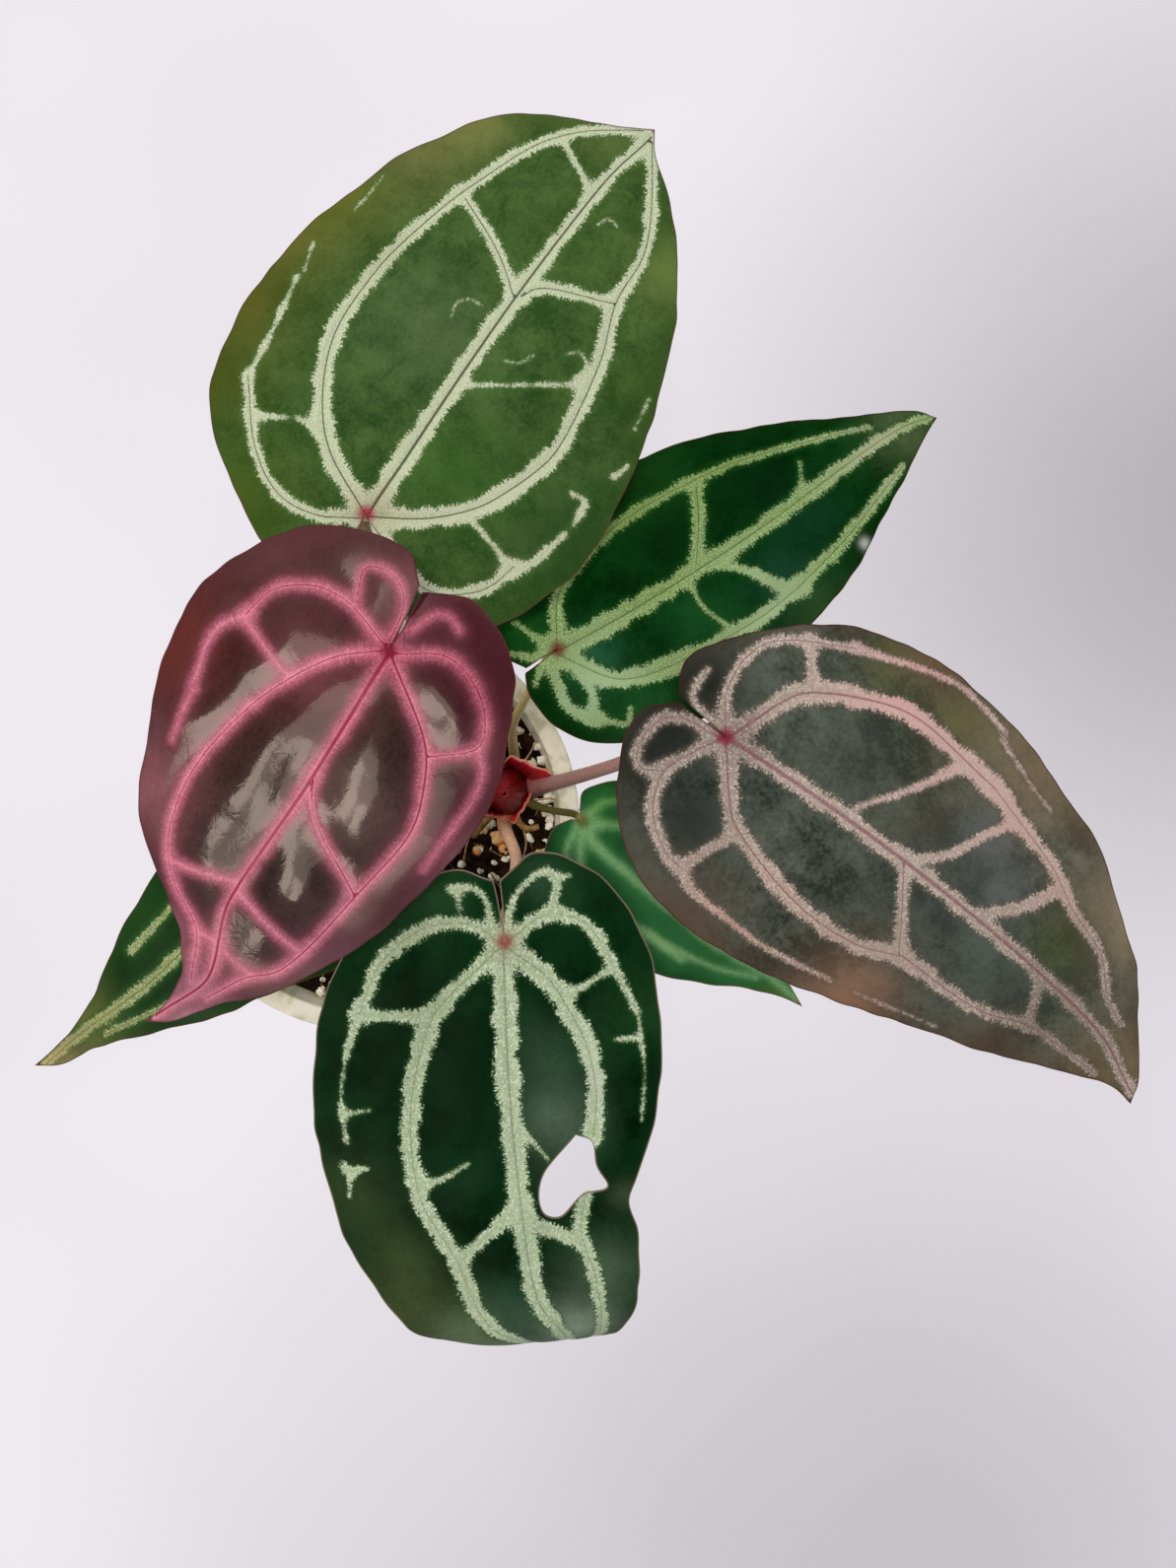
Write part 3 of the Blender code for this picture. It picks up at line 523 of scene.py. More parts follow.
            vein(4.0, 3.8, (1.5, 0.5), (10, 9), (16, 12), (27, 16), (39.5, 17), (50.5, 15), line=0.4),
            vein(2.8, 2.4, (60, 13), (74, 9.5), (86.5, 11.5), (104.5, 11), (125, 3), line=0.2),
            vein(2.8, 2.6, (0.5, -1), (-4.5, -7.5), (-5, -17.5), (2.5, -29.5), (14.5, -36.5), line=0.25),
            vein(2.3, 2.3, (14.5, -36), (16, -20)),
            vein(2.0, 1.2, (15.5, -37), (25, -41), (34, -43.5), (46.5, -44), broken=0.85),
            vein(0.7, 0.5, (39, -43), (38, -37), broken=0.5),
            vein(1.6, 1.1, (53, -46), (54.5, -44.5), (53.5, -40.5), broken=0.3),
            vein(1.1, 0.8, (54.5, -44.5), (61, -45.5), broken=0.4),
            vein(1.2, 1.1, (-4, -2.5), (-10.5, -3.5), (-13, -5.5), (-13.5, -11)),
            vein(0.9, 0.7, (-13, -9.5), (-9, -9.5)),
            vein(3.0, 2.2, (0, 1), (-4, 7.5), (-5, 11.5), (-4, 15.5), (-1.5, 19.5), (2.5, 22), line=0.2),
            vein(2.2, 1.4, (2.5, 22), (20.5, 28.5), broken=0.25),
            vein(1.3, 1.0, (-3.5, 1), (-9, 3), (-14, 8), (-15, 10.5), broken=0.2),
            vein(1.5, 0.9, (-5, 11.5), (-13, 13.5), (-15, 12)),
            vein(0.8, 0.6, (-13, 13.5), (-13.5, 16.5)),
            vein(1.0, 1.2, (9.5, 24.5), (14.5, 13)),
            vein(1.3, 0.9, (22, 29), (35, 29), (48, 27), broken=0.85),
            vein(0.9, 0.7, (27, 28), (26.5, 23), broken=0.3),
            vein(1.9, 0.6, (57.5, -28), (57, -23), (53, -15.5), broken=0.2),
            vein(2.6, 2.8, (79, -21.5), (66, -6)),
            vein(2.4, 2.6, (66, -3.5), (71, 0), (77, 9)),
            vein(1.0, 0.5, (44, -3), (54, 4))],
        # The pale tints about the curled tip and the grey-green ones are painted reflection haze, and the
        # small one at the rolled edge by the joint is painted sheen.
        tintsAndPaintedLight=[(28, 7, 9, "#35523a", 0.75), (44, 7, 9, "#58715a", 0.85), (32, -14, 12, "#03210c", 0.8),
               (53, -16, 9, "#10361c", 0.6), (60, -46, 12, "#3f4f2c", 0.5), (20, 30, 10, "#234a22", 0.6),
               (-12, -14, 9, "#1f4a24", 0.7), (-10, 14, 8, "#244c26", 0.6), (85, 14, 9, "#52694f", 0.75),
               (95, -10, 10, "#3a5a44", 0.65), (92, -34, 13, "#4a5430", 0.7), (66, 21, 4, "#5b6a4a", 0.5),
               (101, 6, 9, "#8a9d86", 0.85), (100, -22, 8, "#738861", 0.75), (112, -14, 8, "#a0aa92", 0.7),
               (78, -36, 9, "#42532e", 0.7), (-13, 10, 5, "#3c5a44", 0.5)],
        bandTints=[(14, -20, 11, "#8b9b78", 0.7), (-4, -22, 10, "#8a9676", 0.7),
                   (30, -27, 12, "#93a480", 0.6), (60, -2, 14, "#aebd9a", 0.4), (36, 16, 10, "#bfc9b0", 0.6),
                   (88, -20, 10, "#a5b08e", 0.6), (108, 4, 12, "#8f9c80", 0.7), (1, 0, 5, "#8a8a70", 0.7)],
        look=dict(panel="#001a06", panelLight="#062c11", margin="#103317", marginWidth=5.0, marginAmount=0.5,
                  halo="#275023", haloWidth=1.2, haloAmount=0.5, band="#abbd98", bandDeep="#93aa84",
                  paintedGlint="#dde8cf", bandGain=1.14, fringe=1.0, soft=0.45, line="#6b7355", lineAmount=0.55,
                  edge="#8f7a6c", spot="#8a4038", under="#64865c", underVein="#9cab78", gloss=0.46,
                  shine=0.05)),
    "small": dict(
        joint=(56, 1, 16), heading=-40.5, length=78, half=21, fall=28, arch=4, roll=0.0,
        lift=(0, 0), wave=0.6, waves=3, quilt=0.8, quiltWidth=4.5, swell=(17, 0.35),
        left=[(-2.5, 1.5), (-5, 6), (1, 14), (12, 19), (25, 20.5), (40, 17), (55, 10), (70, 3)],
        right=[(-2.5, -1.5), (-4.5, -6.5), (1, -16.5), (10, -20.5), (24, -22.5), (40, -19), (52, -13),
               (63, -5.5), (71, -2)],
        stalk=(-26, 1, 1.3, 1.0), passes=[(48.5, 3.6, 8.5)],
        veins=[
            vein(3.0, 1.6, (0.5, 0.5), (4.5, -2), (35.5, -2.5), (46, -2.5), (64.5, 0.5), (77, 0.5), line=0.4),
            vein(2.0, 1.0, (0, 1), (1, 7), (5, 11)),
            vein(2.6, 1.2, (1.5, 0.5), (6, 4), (16, 9), (32, 9), (52, 4), line=0.2),
            vein(2.2, 1.0, (1, -1), (6, -8), (16, -12), (32, -11.5), (52, -7), (62, -2), line=0.2,
                 broken=0.2),
            vein(1.6, 1.0, (33, -11.5), (44, -11), broken=0.5),
            vein(1.2, 0.9, (0, -2), (1.5, -8), (8, -15)),
            vein(1.4, 1.2, (26, 10), (24, -2))],
        tintsAndPaintedLight=[(20, -5, 9, "#2d6638", 0.7), (38, -4, 12, "#2f6a3a", 0.7), (56, -3, 12, "#2f5f33", 0.6),
               (73, 0, 7, "#6d7f24", 0.9), (-1, -9, 6, "#0a3020", 0.8), (2, 11, 6, "#1f5c1c", 0.7)],
        bandTints=[(2, 9, 7, "#5f9a3c", 0.7), (38, -11, 9, "#8fb57e", 0.5)],
        look=dict(panel="#0d4019", panelLight="#1c5629", margin="#1a4a25", marginWidth=3.0, marginAmount=0.4,
                  halo="#357440", haloWidth=5.0, haloAmount=0.6, band="#6da06a", bandDeep="#7aad78",
                  paintedGlint="#86b381", bandGain=0.9, fringe=0.2, soft=1.3, line="#4f6f45", lineAmount=0.3,
                  edge="#6c4a38", spot="#5a6a3a", under="#6c8f60", underVein="#9ab184", gloss=0.45,
                  shine=0.12)),
    "rear": dict(
        joint=(-2.5, -3, 28), heading=-145, length=108, half=27, fall=36, arch=5, roll=0.0,
        lift=(0, 0), wave=0.8, waves=4, quilt=0.9, quiltWidth=5.0, swell=(17, 0.35),
        left=[(-12, 2), (-16, 9), (-11, 19), (0, 25), (15, 27), (35, 22), (60, 16.5), (88, 6), (101.5, 4)],
        right=[(-12, -1), (-18, -7), (-10, -21.5), (6, -28), (27, -27), (47, -22.5), (59.5, -17), (74, -9.5),
               (89, -2.5), (100, -0.8)],
        stalk=(205, -1, 1.8, 1.3), passes=[(17, 3, 19)],
        veins=[
            vein(3.4, 2.0, (0.5, 0), (25, -1.5), (53, -1), (66, 0.5), (92.5, 0.5), (105, 1.5), line=0.45),
            vein(2.8, 1.0, (1, 1), (9, 10), (28, 14), (55, 9.5), (84, 4.5), line=0.25),
            vein(2.8, 1.2, (1, -1), (8, -12), (26, -16), (44, -13), line=0.25),
            vein(0.8, 2.0, (44, -13), (51, -11.5), (64, -9)),
            vein(2.0, 1.0, (0, 1), (-8, 8), (-5, 17), (8, 22), broken=0.2),
            vein(2.0, 1.0, (0, -1), (-8, -9), (-4, -19), (8, -24), broken=0.2),
            vein(1.6, 1.4, (30, 14), (36, -1.5)),
            vein(1.6, 1.4, (28, -16), (22, -1.5))],
        tintsAndPaintedLight=[(57, -12, 11, "#28481f", 0.7), (88, 1, 12, "#6a6f3c", 0.8), (102, 1, 8, "#a08d62", 0.95),
               (61, 14, 10, "#344a33", 0.6), (70, 5, 9, "#0c3014", 0.6)],
        bandTints=[(86, 0, 14, "#93925c", 0.7), (103, 1, 8, "#a99868", 0.9)],
        look=dict(panel="#04260a", panelLight="#0d3612", margin="#234718", marginWidth=4.0, marginAmount=0.5,
                  halo="#315c2a", haloWidth=2.4, haloAmount=0.5, band="#8c9c62", bandDeep="#6d8049",
                  paintedGlint="#c2cba0", bandGain=1.15, fringe=0.8, soft=0.5, line="#4c5233", lineAmount=0.7,
                  edge="#4a241c", spot="#6f3a30", under="#64865c", underVein="#9cab78", gloss=0.48,
                  shine=0.06)),
}


def spineOf(leaf, ahead):
    # How far along its heading and how far up the midrib is, and its pitch, at distances ahead.
    length, fall = leaf["length"], leaf["fall"]
    even = 0.35  # the share of the fall that is a straight slope, while the rest steepens to the tip
    curlAt, curlRadius, curlTurn = leaf.get("curl", (length, 1, 0))
    near = np.minimum(ahead, curlAt)
    share = np.maximum(near / length, 0)
    drop = fall * (even * near / length + (1 - even) * share ** 2)
    pitch = np.arctan(-fall * (even + 2 * (1 - even) * share) / length)
    turned = np.clip((ahead - curlAt) / curlRadius, 0, radians(curlTurn))
    along = near + curlRadius * (np.sin(turned - pitch) + np.sin(pitch))
    up = -drop - curlRadius * (np.cos(pitch) - np.cos(turned - pitch))
    rest = np.maximum(ahead - curlAt - curlRadius * turned, 0)
    pitch = pitch - turned
    return along + rest * np.cos(pitch), up + rest * np.sin(pitch), pitch


def surfaceOf(leaf, ahead, left, share, raised):
    # Places in mm on the blade's upper face. share is 0 inside the blade and 1 at its margin.
    lobeReach = 15.0
    along, up, pitch = spineOf(leaf, ahead)
    side = np.clip(left / 4, -1, 1)
    lift = raised + leaf["roll"] * left - leaf["arch"] * (left / leaf["half"]) ** 2
    lift += np.where(left > 0, *leaf["lift"]) * (np.minimum(ahead, 0) / lobeReach) ** 2
    lift += leaf["wave"] * share ** 3 * np.sin(tau * leaf["waves"] * ahead / leaf["length"] + side)
    x, y, height = leaf["joint"]
    turn = radians(leaf["heading"])
    along = along - lift * np.sin(pitch)
    up = up + lift * np.cos(pitch)
    return np.column_stack([x + along * cos(turn) - left * sin(turn),
                            y + along * sin(turn) + left * cos(turn), rim + height + up])


def outlineOf(leaf):
    # The closed outline from the sinus along the left margin to the tip and back, and the torn hole if any.
    span, fade = 6, 20  # mm across one ripple, and points over which ripples fade in from the ends
    sides = []
    for side in ("left", "right"):
        curve = np.vstack([[(0, 0)], smoothLine([*leaf[side], (leaf["length"], 0)], 400)])
        curve = evenly(curve, int(reachOf(curve) / blade["grain"]))
        along = np.gradient(curve, axis=0)
        outward = np.column_stack([-along[:, 1], along[:, 0]]) / np.linalg.norm(along, axis=1, keepdims=True)
        ripple = [noise.noise(Vector((p[0] / span, p[1] / span, leaf["heading"])))
                  * min(1, k / fade, (len(curve) - 1 - k) / fade) for k, p in enumerate(curve)]
        sides.append(curve + outward * blade["scallop"] * np.array(ripple)[:, None])
    loops = [np.vstack([sides[0], sides[1][-2:0:-1]])]
    if "hole" in leaf:
        torn = smoothLine([*leaf["hole"], leaf["hole"][0]], 70)
        loops.append(torn[:-1])
    return loops


def bladeNet(leaf, loops, creases):
    # Even triangles over the leaf's plane, with edges along its outline and down the middle of main veins.
    grain = blade["grain"]
    points, edges = [], []
    for loop in loops:
        first = len(points)
        points += list(loop)
        edges += [(first + k, first + (k + 1) % len(loop)) for k in range(len(loop))]
    border = np.vstack([np.vstack([loop, loop[:1]]) for loop in loops])
    for crease in creases:
        line = evenly(crease, int(reachOf(crease) / grain))
        taken = np.array(points)
        gap = np.linalg.norm(line[:, None] - taken, axis=2).min(1)
        free = (gap > 0.6 * grain) & insideLoop(line, loops[0])
        before = None
        for place, isFree in zip(line, free):
            if isFree:
                points.append(place)
                if before is not None:
                    edges.append((before, len(points) - 1))
            before = len(points) - 1 if isFree else None
    low, high = loops[0].min(0), loops[0].max(0)
    grid = []
    for k, y in enumerate(np.arange(low[1], high[1], grain * 0.866)):  # rows of an even triangle's height
        row = np.arange(low[0] + (k % 2) * grain / 2, high[0], grain)
        grid.append(np.column_stack([row, np.full(len(row), y)]))
    grid = np.vstack(grid)
    grid = grid[insideLoop(grid, loops[0])]
    grid = grid[nearLine(grid, border)[0] > 0.5 * grain]
    fixed = np.array(points)
    apart = np.concatenate([np.linalg.norm(block[:, None] - fixed, axis=2).min(1)
                            for block in np.array_split(grid, len(grid) // 1000 + 1)])
    points += list(grid[apart > 0.55 * grain])
    made = geometry.delaunay_2d_cdt([Vector(p) for p in points], edges, [], 0, 1e-4)
    places = np.array([tuple(p) for p in made[0]])
    faces = np.array(made[2])
    middles = places[faces].mean(1)
    kept = insideLoop(middles, loops[0])
    for loop in loops[1:]:
        kept &= ~insideLoop(middles, loop)
    faces = faces[kept]
    used, index = np.unique(faces, return_inverse=True)
    return places[used], index.reshape(-1, 3)


def tintAt(places, patches):
    # Soft round patches of colour, some of them painted shade and painted sheen, laid over one another. Alpha
    # is how strongly they cover.
    tint = np.zeros((len(places), 4))
    for ahead, left, reach, colour, strength in patches:
        weight = strength * np.exp(-((places[:, 0] - ahead) ** 2 + (places[:, 1] - left) ** 2) / reach ** 2)
        total = tint[:, 3] * (1 - weight) + weight
        held = (tint[:, 3] * (1 - weight) / np.maximum(total, 1e-6))[:, None]
        tint[:, :3] = tint[:, :3] * held + np.array(linear(colour)[:3]) * (1 - held)
        tint[:, 3] = total
    return tint


def veinMarks(leaf, lines, places, rng):
    # What the veins leave on each place of a blade, for its material, and how they shape it: ridge and groove
    # along a main vein's middle, and flat, which is 1 away from the main veins.
    count = len(places)
    band, nearest, middle = np.full(count, -4.0), np.full(count, 30.0), np.full(count, -4.0)
    joined, halfHere, veinPlace = np.zeros(count), np.ones(count), np.zeros((count, 3))
    flat, ridge, groove = np.ones(count), np.zeros(count), np.zeros(count)
    for index, (v, line) in enumerate(zip(leaf["veins"], lines)):
        apart, side, run = nearLine(places, line)
        reach = reachOf(line)
        share = run / reach
        knots = np.arange(0, reach + 5, blade["wanderEvery"])
        leftWander = np.interp(run, knots, rng.uniform(-1, 1, len(knots)))
        rightWander = np.interp(run, knots, rng.uniform(-1, 1, len(knots)))
        wander = 1 + blade["wander"] * np.where(side > 0, leftWander, rightWander)
        half = leaf["look"]["bandGain"] * (v["start"] + (v["end"] - v["start"]) * share) / 2 * wander
        worn = np.interp(run, knots, rng.uniform(0, 1, len(knots)))
        half = half * np.clip(1 - v["broken"] * 1.5 * worn, 0.12, 1)
        here = apart - half < nearest
        nearest = np.minimum(nearest, apart - half)
        halfHere = np.where(here, half, halfHere)
        ownPlace = np.column_stack([run, side * apart, np.full(count, 7.3 * index)])  # no two veins alike
        veinPlace = np.where(here[:, None], ownPlace, veinPlace)
        band = np.maximum(band, 1 - apart / half)
        joined += np.exp(-(apart - half) / blade["web"])
        size = np.sqrt(np.maximum(1 - 0.75 * share, 0.05))
        if v["line"]:
            middle = np.maximum(middle, 1 - apart / (0.5 * v["line"] * size))
            ridge = np.maximum(ridge, v["line"] * size * np.exp(-(apart / blade["ridgeReach"]) ** 2))
            groove = np.maximum(groove, size * np.exp(-(apart / blade["grooveReach"]) ** 2))
        if v["start"] > blade["mainVein"]:
            flat *= 1 - np.exp(-(apart / leaf["quiltWidth"]) ** 2) * min(1, v["start"] / 2.4)
    gap = -blade["web"] * np.log(joined + 1e-12)  # rounds the corners where bands meet
    marks = {"veinPlace": veinPlace, "veinBand": band, "veinGap": gap, "veinHalf": halfHere,
             "veinLine": middle}
    return marks, ridge, groove, flat


def bladeMesh(name, top, faces, thick):
    # A closed blade: the upper face, the lower one a thickness under it, and the rim between them.
    count = len(top)
    corners = top[faces]
    normal = np.zeros((count, 3))
    across = np.cross(corners[:, 1] - corners[:, 0], corners[:, 2] - corners[:, 0])
    for corner in range(3):
        np.add.at(normal, faces[:, corner], across)
    normal /= np.linalg.norm(normal, axis=1, keepdims=True)
    under = top - normal * thick[:, None]
    ends = np.concatenate([faces[:, [0, 1]], faces[:, [1, 2]], faces[:, [2, 0]]])
    _, first, repeats = np.unique(np.sort(ends, axis=1), axis=0, return_index=True, return_counts=True)
    border = ends[first[repeats == 1]]
    rimFaces = np.column_stack([border[:, 1], border[:, 0], border[:, 0] + count, border[:, 1] + count])
    mesh = bpy.data.meshes.new(f"blade_{name}")
    mesh.from_pydata(np.vstack([top, under]) * mm, [],
                     faces.tolist() + (faces[:, ::-1] + count).tolist() + rimFaces.tolist())
    mesh.polygons.foreach_set("material_index", [0] * len(faces) + [1] * len(faces) + [0] * len(border))
    return mesh


def makeBlade(name, leaf, order):
    rng = np.random.default_rng(100 + order)
    loops = outlineOf(leaf)
    lines = [smoothLine(v["path"], max(4, int(reachOf(np.array(v["path"], float)) / 1.2)))
             for v in leaf["veins"]]
    places, faces = bladeNet(leaf, loops, [line for v, line in zip(leaf["veins"], lines) if v["line"]])
    edge = np.min([nearLine(places, np.vstack([loop, loop[:1]]))[0] for loop in loops], axis=0)
    marks, ridge, groove, flat = veinMarks(leaf, lines, places, rng)
    inner = 1 - np.exp(-(edge / blade["marginReach"]) ** 2)
    raised = leaf["quilt"] * (flat * inner - 0.25) - blade["groove"] * groove
    span, height = leaf["swell"]
    raised += height * np.array([noise.noise(Vector((p[0] / span, p[1] / span, order))) for p in places])
    share = 1 - np.minimum(edge / leaf["half"], 1)
    top = surfaceOf(leaf, places[:, 0], places[:, 1], share, raised)
    thick = blade["thickness"] * (1 - 0.45 * np.exp(-(edge / 1.2) ** 2)) + blade["ridge"] * 1.4 * ridge
    mesh = bladeMesh(name, top, faces, thick)
    marks["leafPlace"] = np.column_stack([places, np.full(len(places), 50.0 * order)])
    marks["marginGap"] = edge
    marks["leafTintAndPaintedLight"] = tintAt(places, leaf["tintsAndPaintedLight"])
    marks["bandTint"] = tintAt(places, leaf.get("bandTints", ()))
    kinds = {1: ("FLOAT", "value"), 3: ("FLOAT_VECTOR", "vector"), 4: ("FLOAT_COLOR", "color")}
    for label in attributeNames:
        values = marks[label]
        kind, key = kinds[values.size // len(places)]
        layer = mesh.attributes.new(label, kind, "POINT")
        layer.data.foreach_set(key, np.concatenate([values, values]).astype(np.float32).ravel())
    mesh.shade_smooth()
    mesh.set_sharp_from_angle(angle=radians(blade["sharpOver"]))
    piece = addPiece(f"leaf_{name}", mesh, [leafSkin(name, leaf["look"]), leafBack(name, leaf["look"])])
    settle(piece, f"blade_{name}", f"blade_{name}")


# What the leaf materials show. Sizes are mm. A tooth is this wide along its vein and this long across it, and
# the spot fades out between two distances from the joint.
cuticle = {"clouds": 13.0, "creases": 4.5, "cells": 0.9, "hairs": 0.45, "tooth": (0.5, 2.4),
           "spot": (0.6, 3.0), "hem": 0.5, "backMottle": 2.5, "relief": 0.12, "coatRoughness": 0.085}


def leafSkin(name, look):
    # Upper face of an anthurium leaf: a waxy cuticle over velvety dome cells, which gives the eye a soft low
    # gloss, and air-filled cells along the veins, which look silver and end in fine teeth.
    material, tree, shader = newMaterial(f"velvetLeaf_{name}", {
        "IOR": 1.42, "Specular IOR Level": look["shine"]})
    reads = {label: attribute(tree, label) for label in attributeNames}
    place = reads["leafPlace"]["Vector"]
    cells = noiseOver(tree, place, 1 / cuticle["cells"], 2.0)
    creases = noiseOver(tree, place, 1 / cuticle["creases"], 4.0, Roughness=0.65, Distortion=0.6)
    creases = swing(tree, creases, 0.7)
    paint = panelPaint(tree, look, reads, cells, creases)
    silver, band = silverBands(tree, look, reads, cells)
    paint = blend(tree, silver, paint, band)
    line = mapped(tree, reads["veinLine"]["Fac"], -0.3, 0.7, 0.0, look["lineAmount"], smooth=True)
    paint = blend(tree, line, paint, look["line"])
    # The spot on the joint, and the thin coloured line round the margin
    level = addNode(tree, "ShaderNodeVectorMath", {"operation": "MULTIPLY"}, {0: place, 1: (1.0, 1.0, 0.0)})
    far = addNode(tree, "ShaderNodeVectorMath", {"operation": "LENGTH"}, {0: level}).outputs["Value"]
    paint = blend(tree, mapped(tree, far, *cuticle["spot"], 0.9, 0.0, smooth=True), paint, look["spot"])
    hem = mapped(tree, reads["marginGap"]["Fac"], 0.0, cuticle["hem"], 0.9, 0.0, smooth=True)
    paint = blend(tree, hem, paint, look["edge"])
    rough = mapped(tree, cells, 0.3, 0.7, look["gloss"] - 0.05, look["gloss"] + 0.1)
    height = maths(tree, "MULTIPLY_ADD", silver, 0.5, cells)
    relief = bumpFrom(tree, height, 0.3, cuticle["relief"])
    joins = {"Base Color": paint, "Roughness": rough, "Normal": relief}
    if "coat" in look:  # a young leaf: smooth and glossy between its veins, like thin oiled skin
        shader.inputs["Coat Roughness"].default_value = cuticle["coatRoughness"]
        inner = mapped(tree, reads["marginGap"]["Fac"], 3.0, 14.0, 0.0, look["coat"], smooth=True)
        bare = mapped(tree, reads["veinGap"]["Fac"], -0.6, 1.6, 0.15, 1.0, smooth=True)
        joins["Coat Weight"] = maths(tree, "MULTIPLY", inner, bare)
        joins["Coat Normal"] = bumpFrom(tree, creases, 0.5, 0.25)
    joinShader(tree, shader, joins)
    return material


def panelPaint(tree, look, reads, cells, creases):
    # Panels between the veins: two tones in clouds, a margin, the local tints with their painted shade and
    # painted sheen, and a halo along each band.
    clouds = noiseOver(tree, reads["leafPlace"]["Vector"], 1 / cuticle["clouds"], 3.0)
    depth = maths(tree, "ADD", creases, maths(tree, "ADD", clouds, swing(tree, cells, 0.5)))
    depth = mapped(tree, depth, 0.3, 0.7)
    paint = blend(tree, depth, look["panel"], look["panelLight"])
    margin = mapped(tree, reads["marginGap"]["Fac"], 0.5, look["marginWidth"], look["marginAmount"], 0.0,
                    smooth=True)
    paint = blend(tree, margin, paint, look["margin"])
    # The tints: the leaf's own colour patches, with painted shade and painted reflection haze among them
    patches = maths(tree, "MULTIPLY", reads["leafTintAndPaintedLight"]["Alpha"], mapped(tree, depth, 0.0, 1.0, 0.7, 1.0))
    paint = blend(tree, patches, paint, reads["leafTintAndPaintedLight"]["Color"])
    halo = mapped(tree, reads["veinGap"]["Fac"], 0.0, look["haloWidth"], look["haloAmount"], 0.0, smooth=True)
    return blend(tree, halo, paint, look["halo"])


def silverBands(tree, look, reads, cells):
    # How much of the silver shows, with toothed edges, and its colour, with fine painted glints.
    place = reads["leafPlace"]["Vector"]
    wide, long = cuticle["tooth"]
    comb = addNode(tree, "ShaderNodeVectorMath", {"operation": "MULTIPLY"}, {
        0: reads["veinPlace"]["Vector"], 1: (1 / wide, 1 / long, 1.0)})
    teeth = noiseOver(tree, comb, 1.0, 1.5, Roughness=0.5)
    hairs = noiseOver(tree, place, 1 / cuticle["hairs"], 1.0)
    # The fringe shifts the bands' edge by so many mm
    fringe = maths(tree, "ADD", swing(tree, teeth, 2.3), swing(tree, hairs, 1.8))
    fringe = maths(tree, "ADD", fringe, swing(tree, cells, 1.0))
    reach = mapped(tree, reads["veinHalf"]["Fac"], 0.0, 1.6, 0.3, look["fringe"])
    ragged = maths(tree, "SUBTRACT", maths(tree, "MULTIPLY", fringe, reach), reads["veinGap"]["Fac"])
    silver = mapped(tree, ragged, -look["soft"], look["soft"], smooth=True)
    middle = mapped(tree, reads["veinBand"]["Fac"], 0.25, 0.95)
    deep = maths(tree, "MULTIPLY", middle, mapped(tree, teeth, 0.35, 0.6, 0.2, 1.0))
    band = blend(tree, deep, look["band"], look["bandDeep"])
    band = blend(tree, reads["bandTint"]["Alpha"], band, reads["bandTint"]["Color"])
    untinted = mapped(tree, reads["bandTint"]["Alpha"], 0.0, 1.0, 1.0, 0.35)
    # Painted glints: fine light dots over the silver, fewer where a band tint covers it
    glint = maths(tree, "MULTIPLY", mapped(tree, hairs, 0.5, 0.66, 0.0, 0.75), untinted)
    return silver, blend(tree, glint, band, look["paintedGlint"])


def leafBack(name, look):
    # Lower face: matt and paler, with the raised veins lighter than the skin between them.
    material, tree, shader = newMaterial(f"leafBack_{name}", {
        "IOR": 1.42, "Roughness": 0.6, "Specular IOR Level": 0.3})
    cells = noiseOver(tree, attribute(tree, "leafPlace")["Vector"], 1 / cuticle["backMottle"], 4.0)
    shade = addNode(tree, "ShaderNodeHueSaturation", None, {
        "Color": linear(look["under"]), "Value": mapped(tree, cells, 0.0, 1.0, 0.7, 1.15)})
    veins = mapped(tree, attribute(tree, "veinBand")["Fac"], 0.1, 0.8)
    paint = blend(tree, veins, shade, look["underVein"])
    joinShader(tree, shader, {"Base Color": paint, "Normal": bumpFrom(tree, cells, 0.3, 0.2)})
    return material


# Geometry Nodes trees: one grows a tube along a line, the other strews grains over a surface
def geometryTree(name, sockets):
    tree = bpy.data.node_groups.new(name, "GeometryNodeTree")
    tree.interface.new_socket("Geometry", in_out="INPUT", socket_type="NodeSocketGeometry")
    for label, kind in sockets.items():
        tree.interface.new_socket(label, in_out="INPUT", socket_type=f"NodeSocket{kind}")
    tree.interface.new_socket("Geometry", in_out="OUTPUT", socket_type="NodeSocketGeometry")
    return tree, tree.nodes.new("NodeGroupInput").outputs


def grow(name, mesh, tree, values):
    # Runs a tree on a mesh with these named inputs and keeps the result as a plain mesh.
    piece = addPiece(name, mesh)
    modifier = piece.modifiers.new("grow", "NODES")
    modifier.node_group = tree
    for item in tree.interface.items_tree:
        if item.in_out == "INPUT" and item.name in values:
            modifier[item.identifier] = values[item.name]
    graph = bpy.context.evaluated_depsgraph_get()
    grown = bpy.data.meshes.new_from_object(piece.evaluated_get(graph))
    piece.modifiers.remove(modifier)
    piece.data = grown
    return piece


def roughened(tree, shape, scale, depth):
    # Shifts every point of a shape by noise.
    lumps = addNode(tree, "ShaderNodeTexNoise", None, {"Scale": scale, "Detail": 1.0})
    lumps = addNode(tree, "ShaderNodeVectorMath", {"operation": "SUBTRACT"}, {
        0: lumps.outputs["Color"], 1: (0.5, 0.5, 0.5)})
    lumps = addNode(tree, "ShaderNodeVectorMath", {"operation": "SCALE"}, {"Vector": lumps, "Scale": depth})
    return addNode(tree, "GeometryNodeSetPosition", None, {"Geometry": shape, "Offset": lumps})


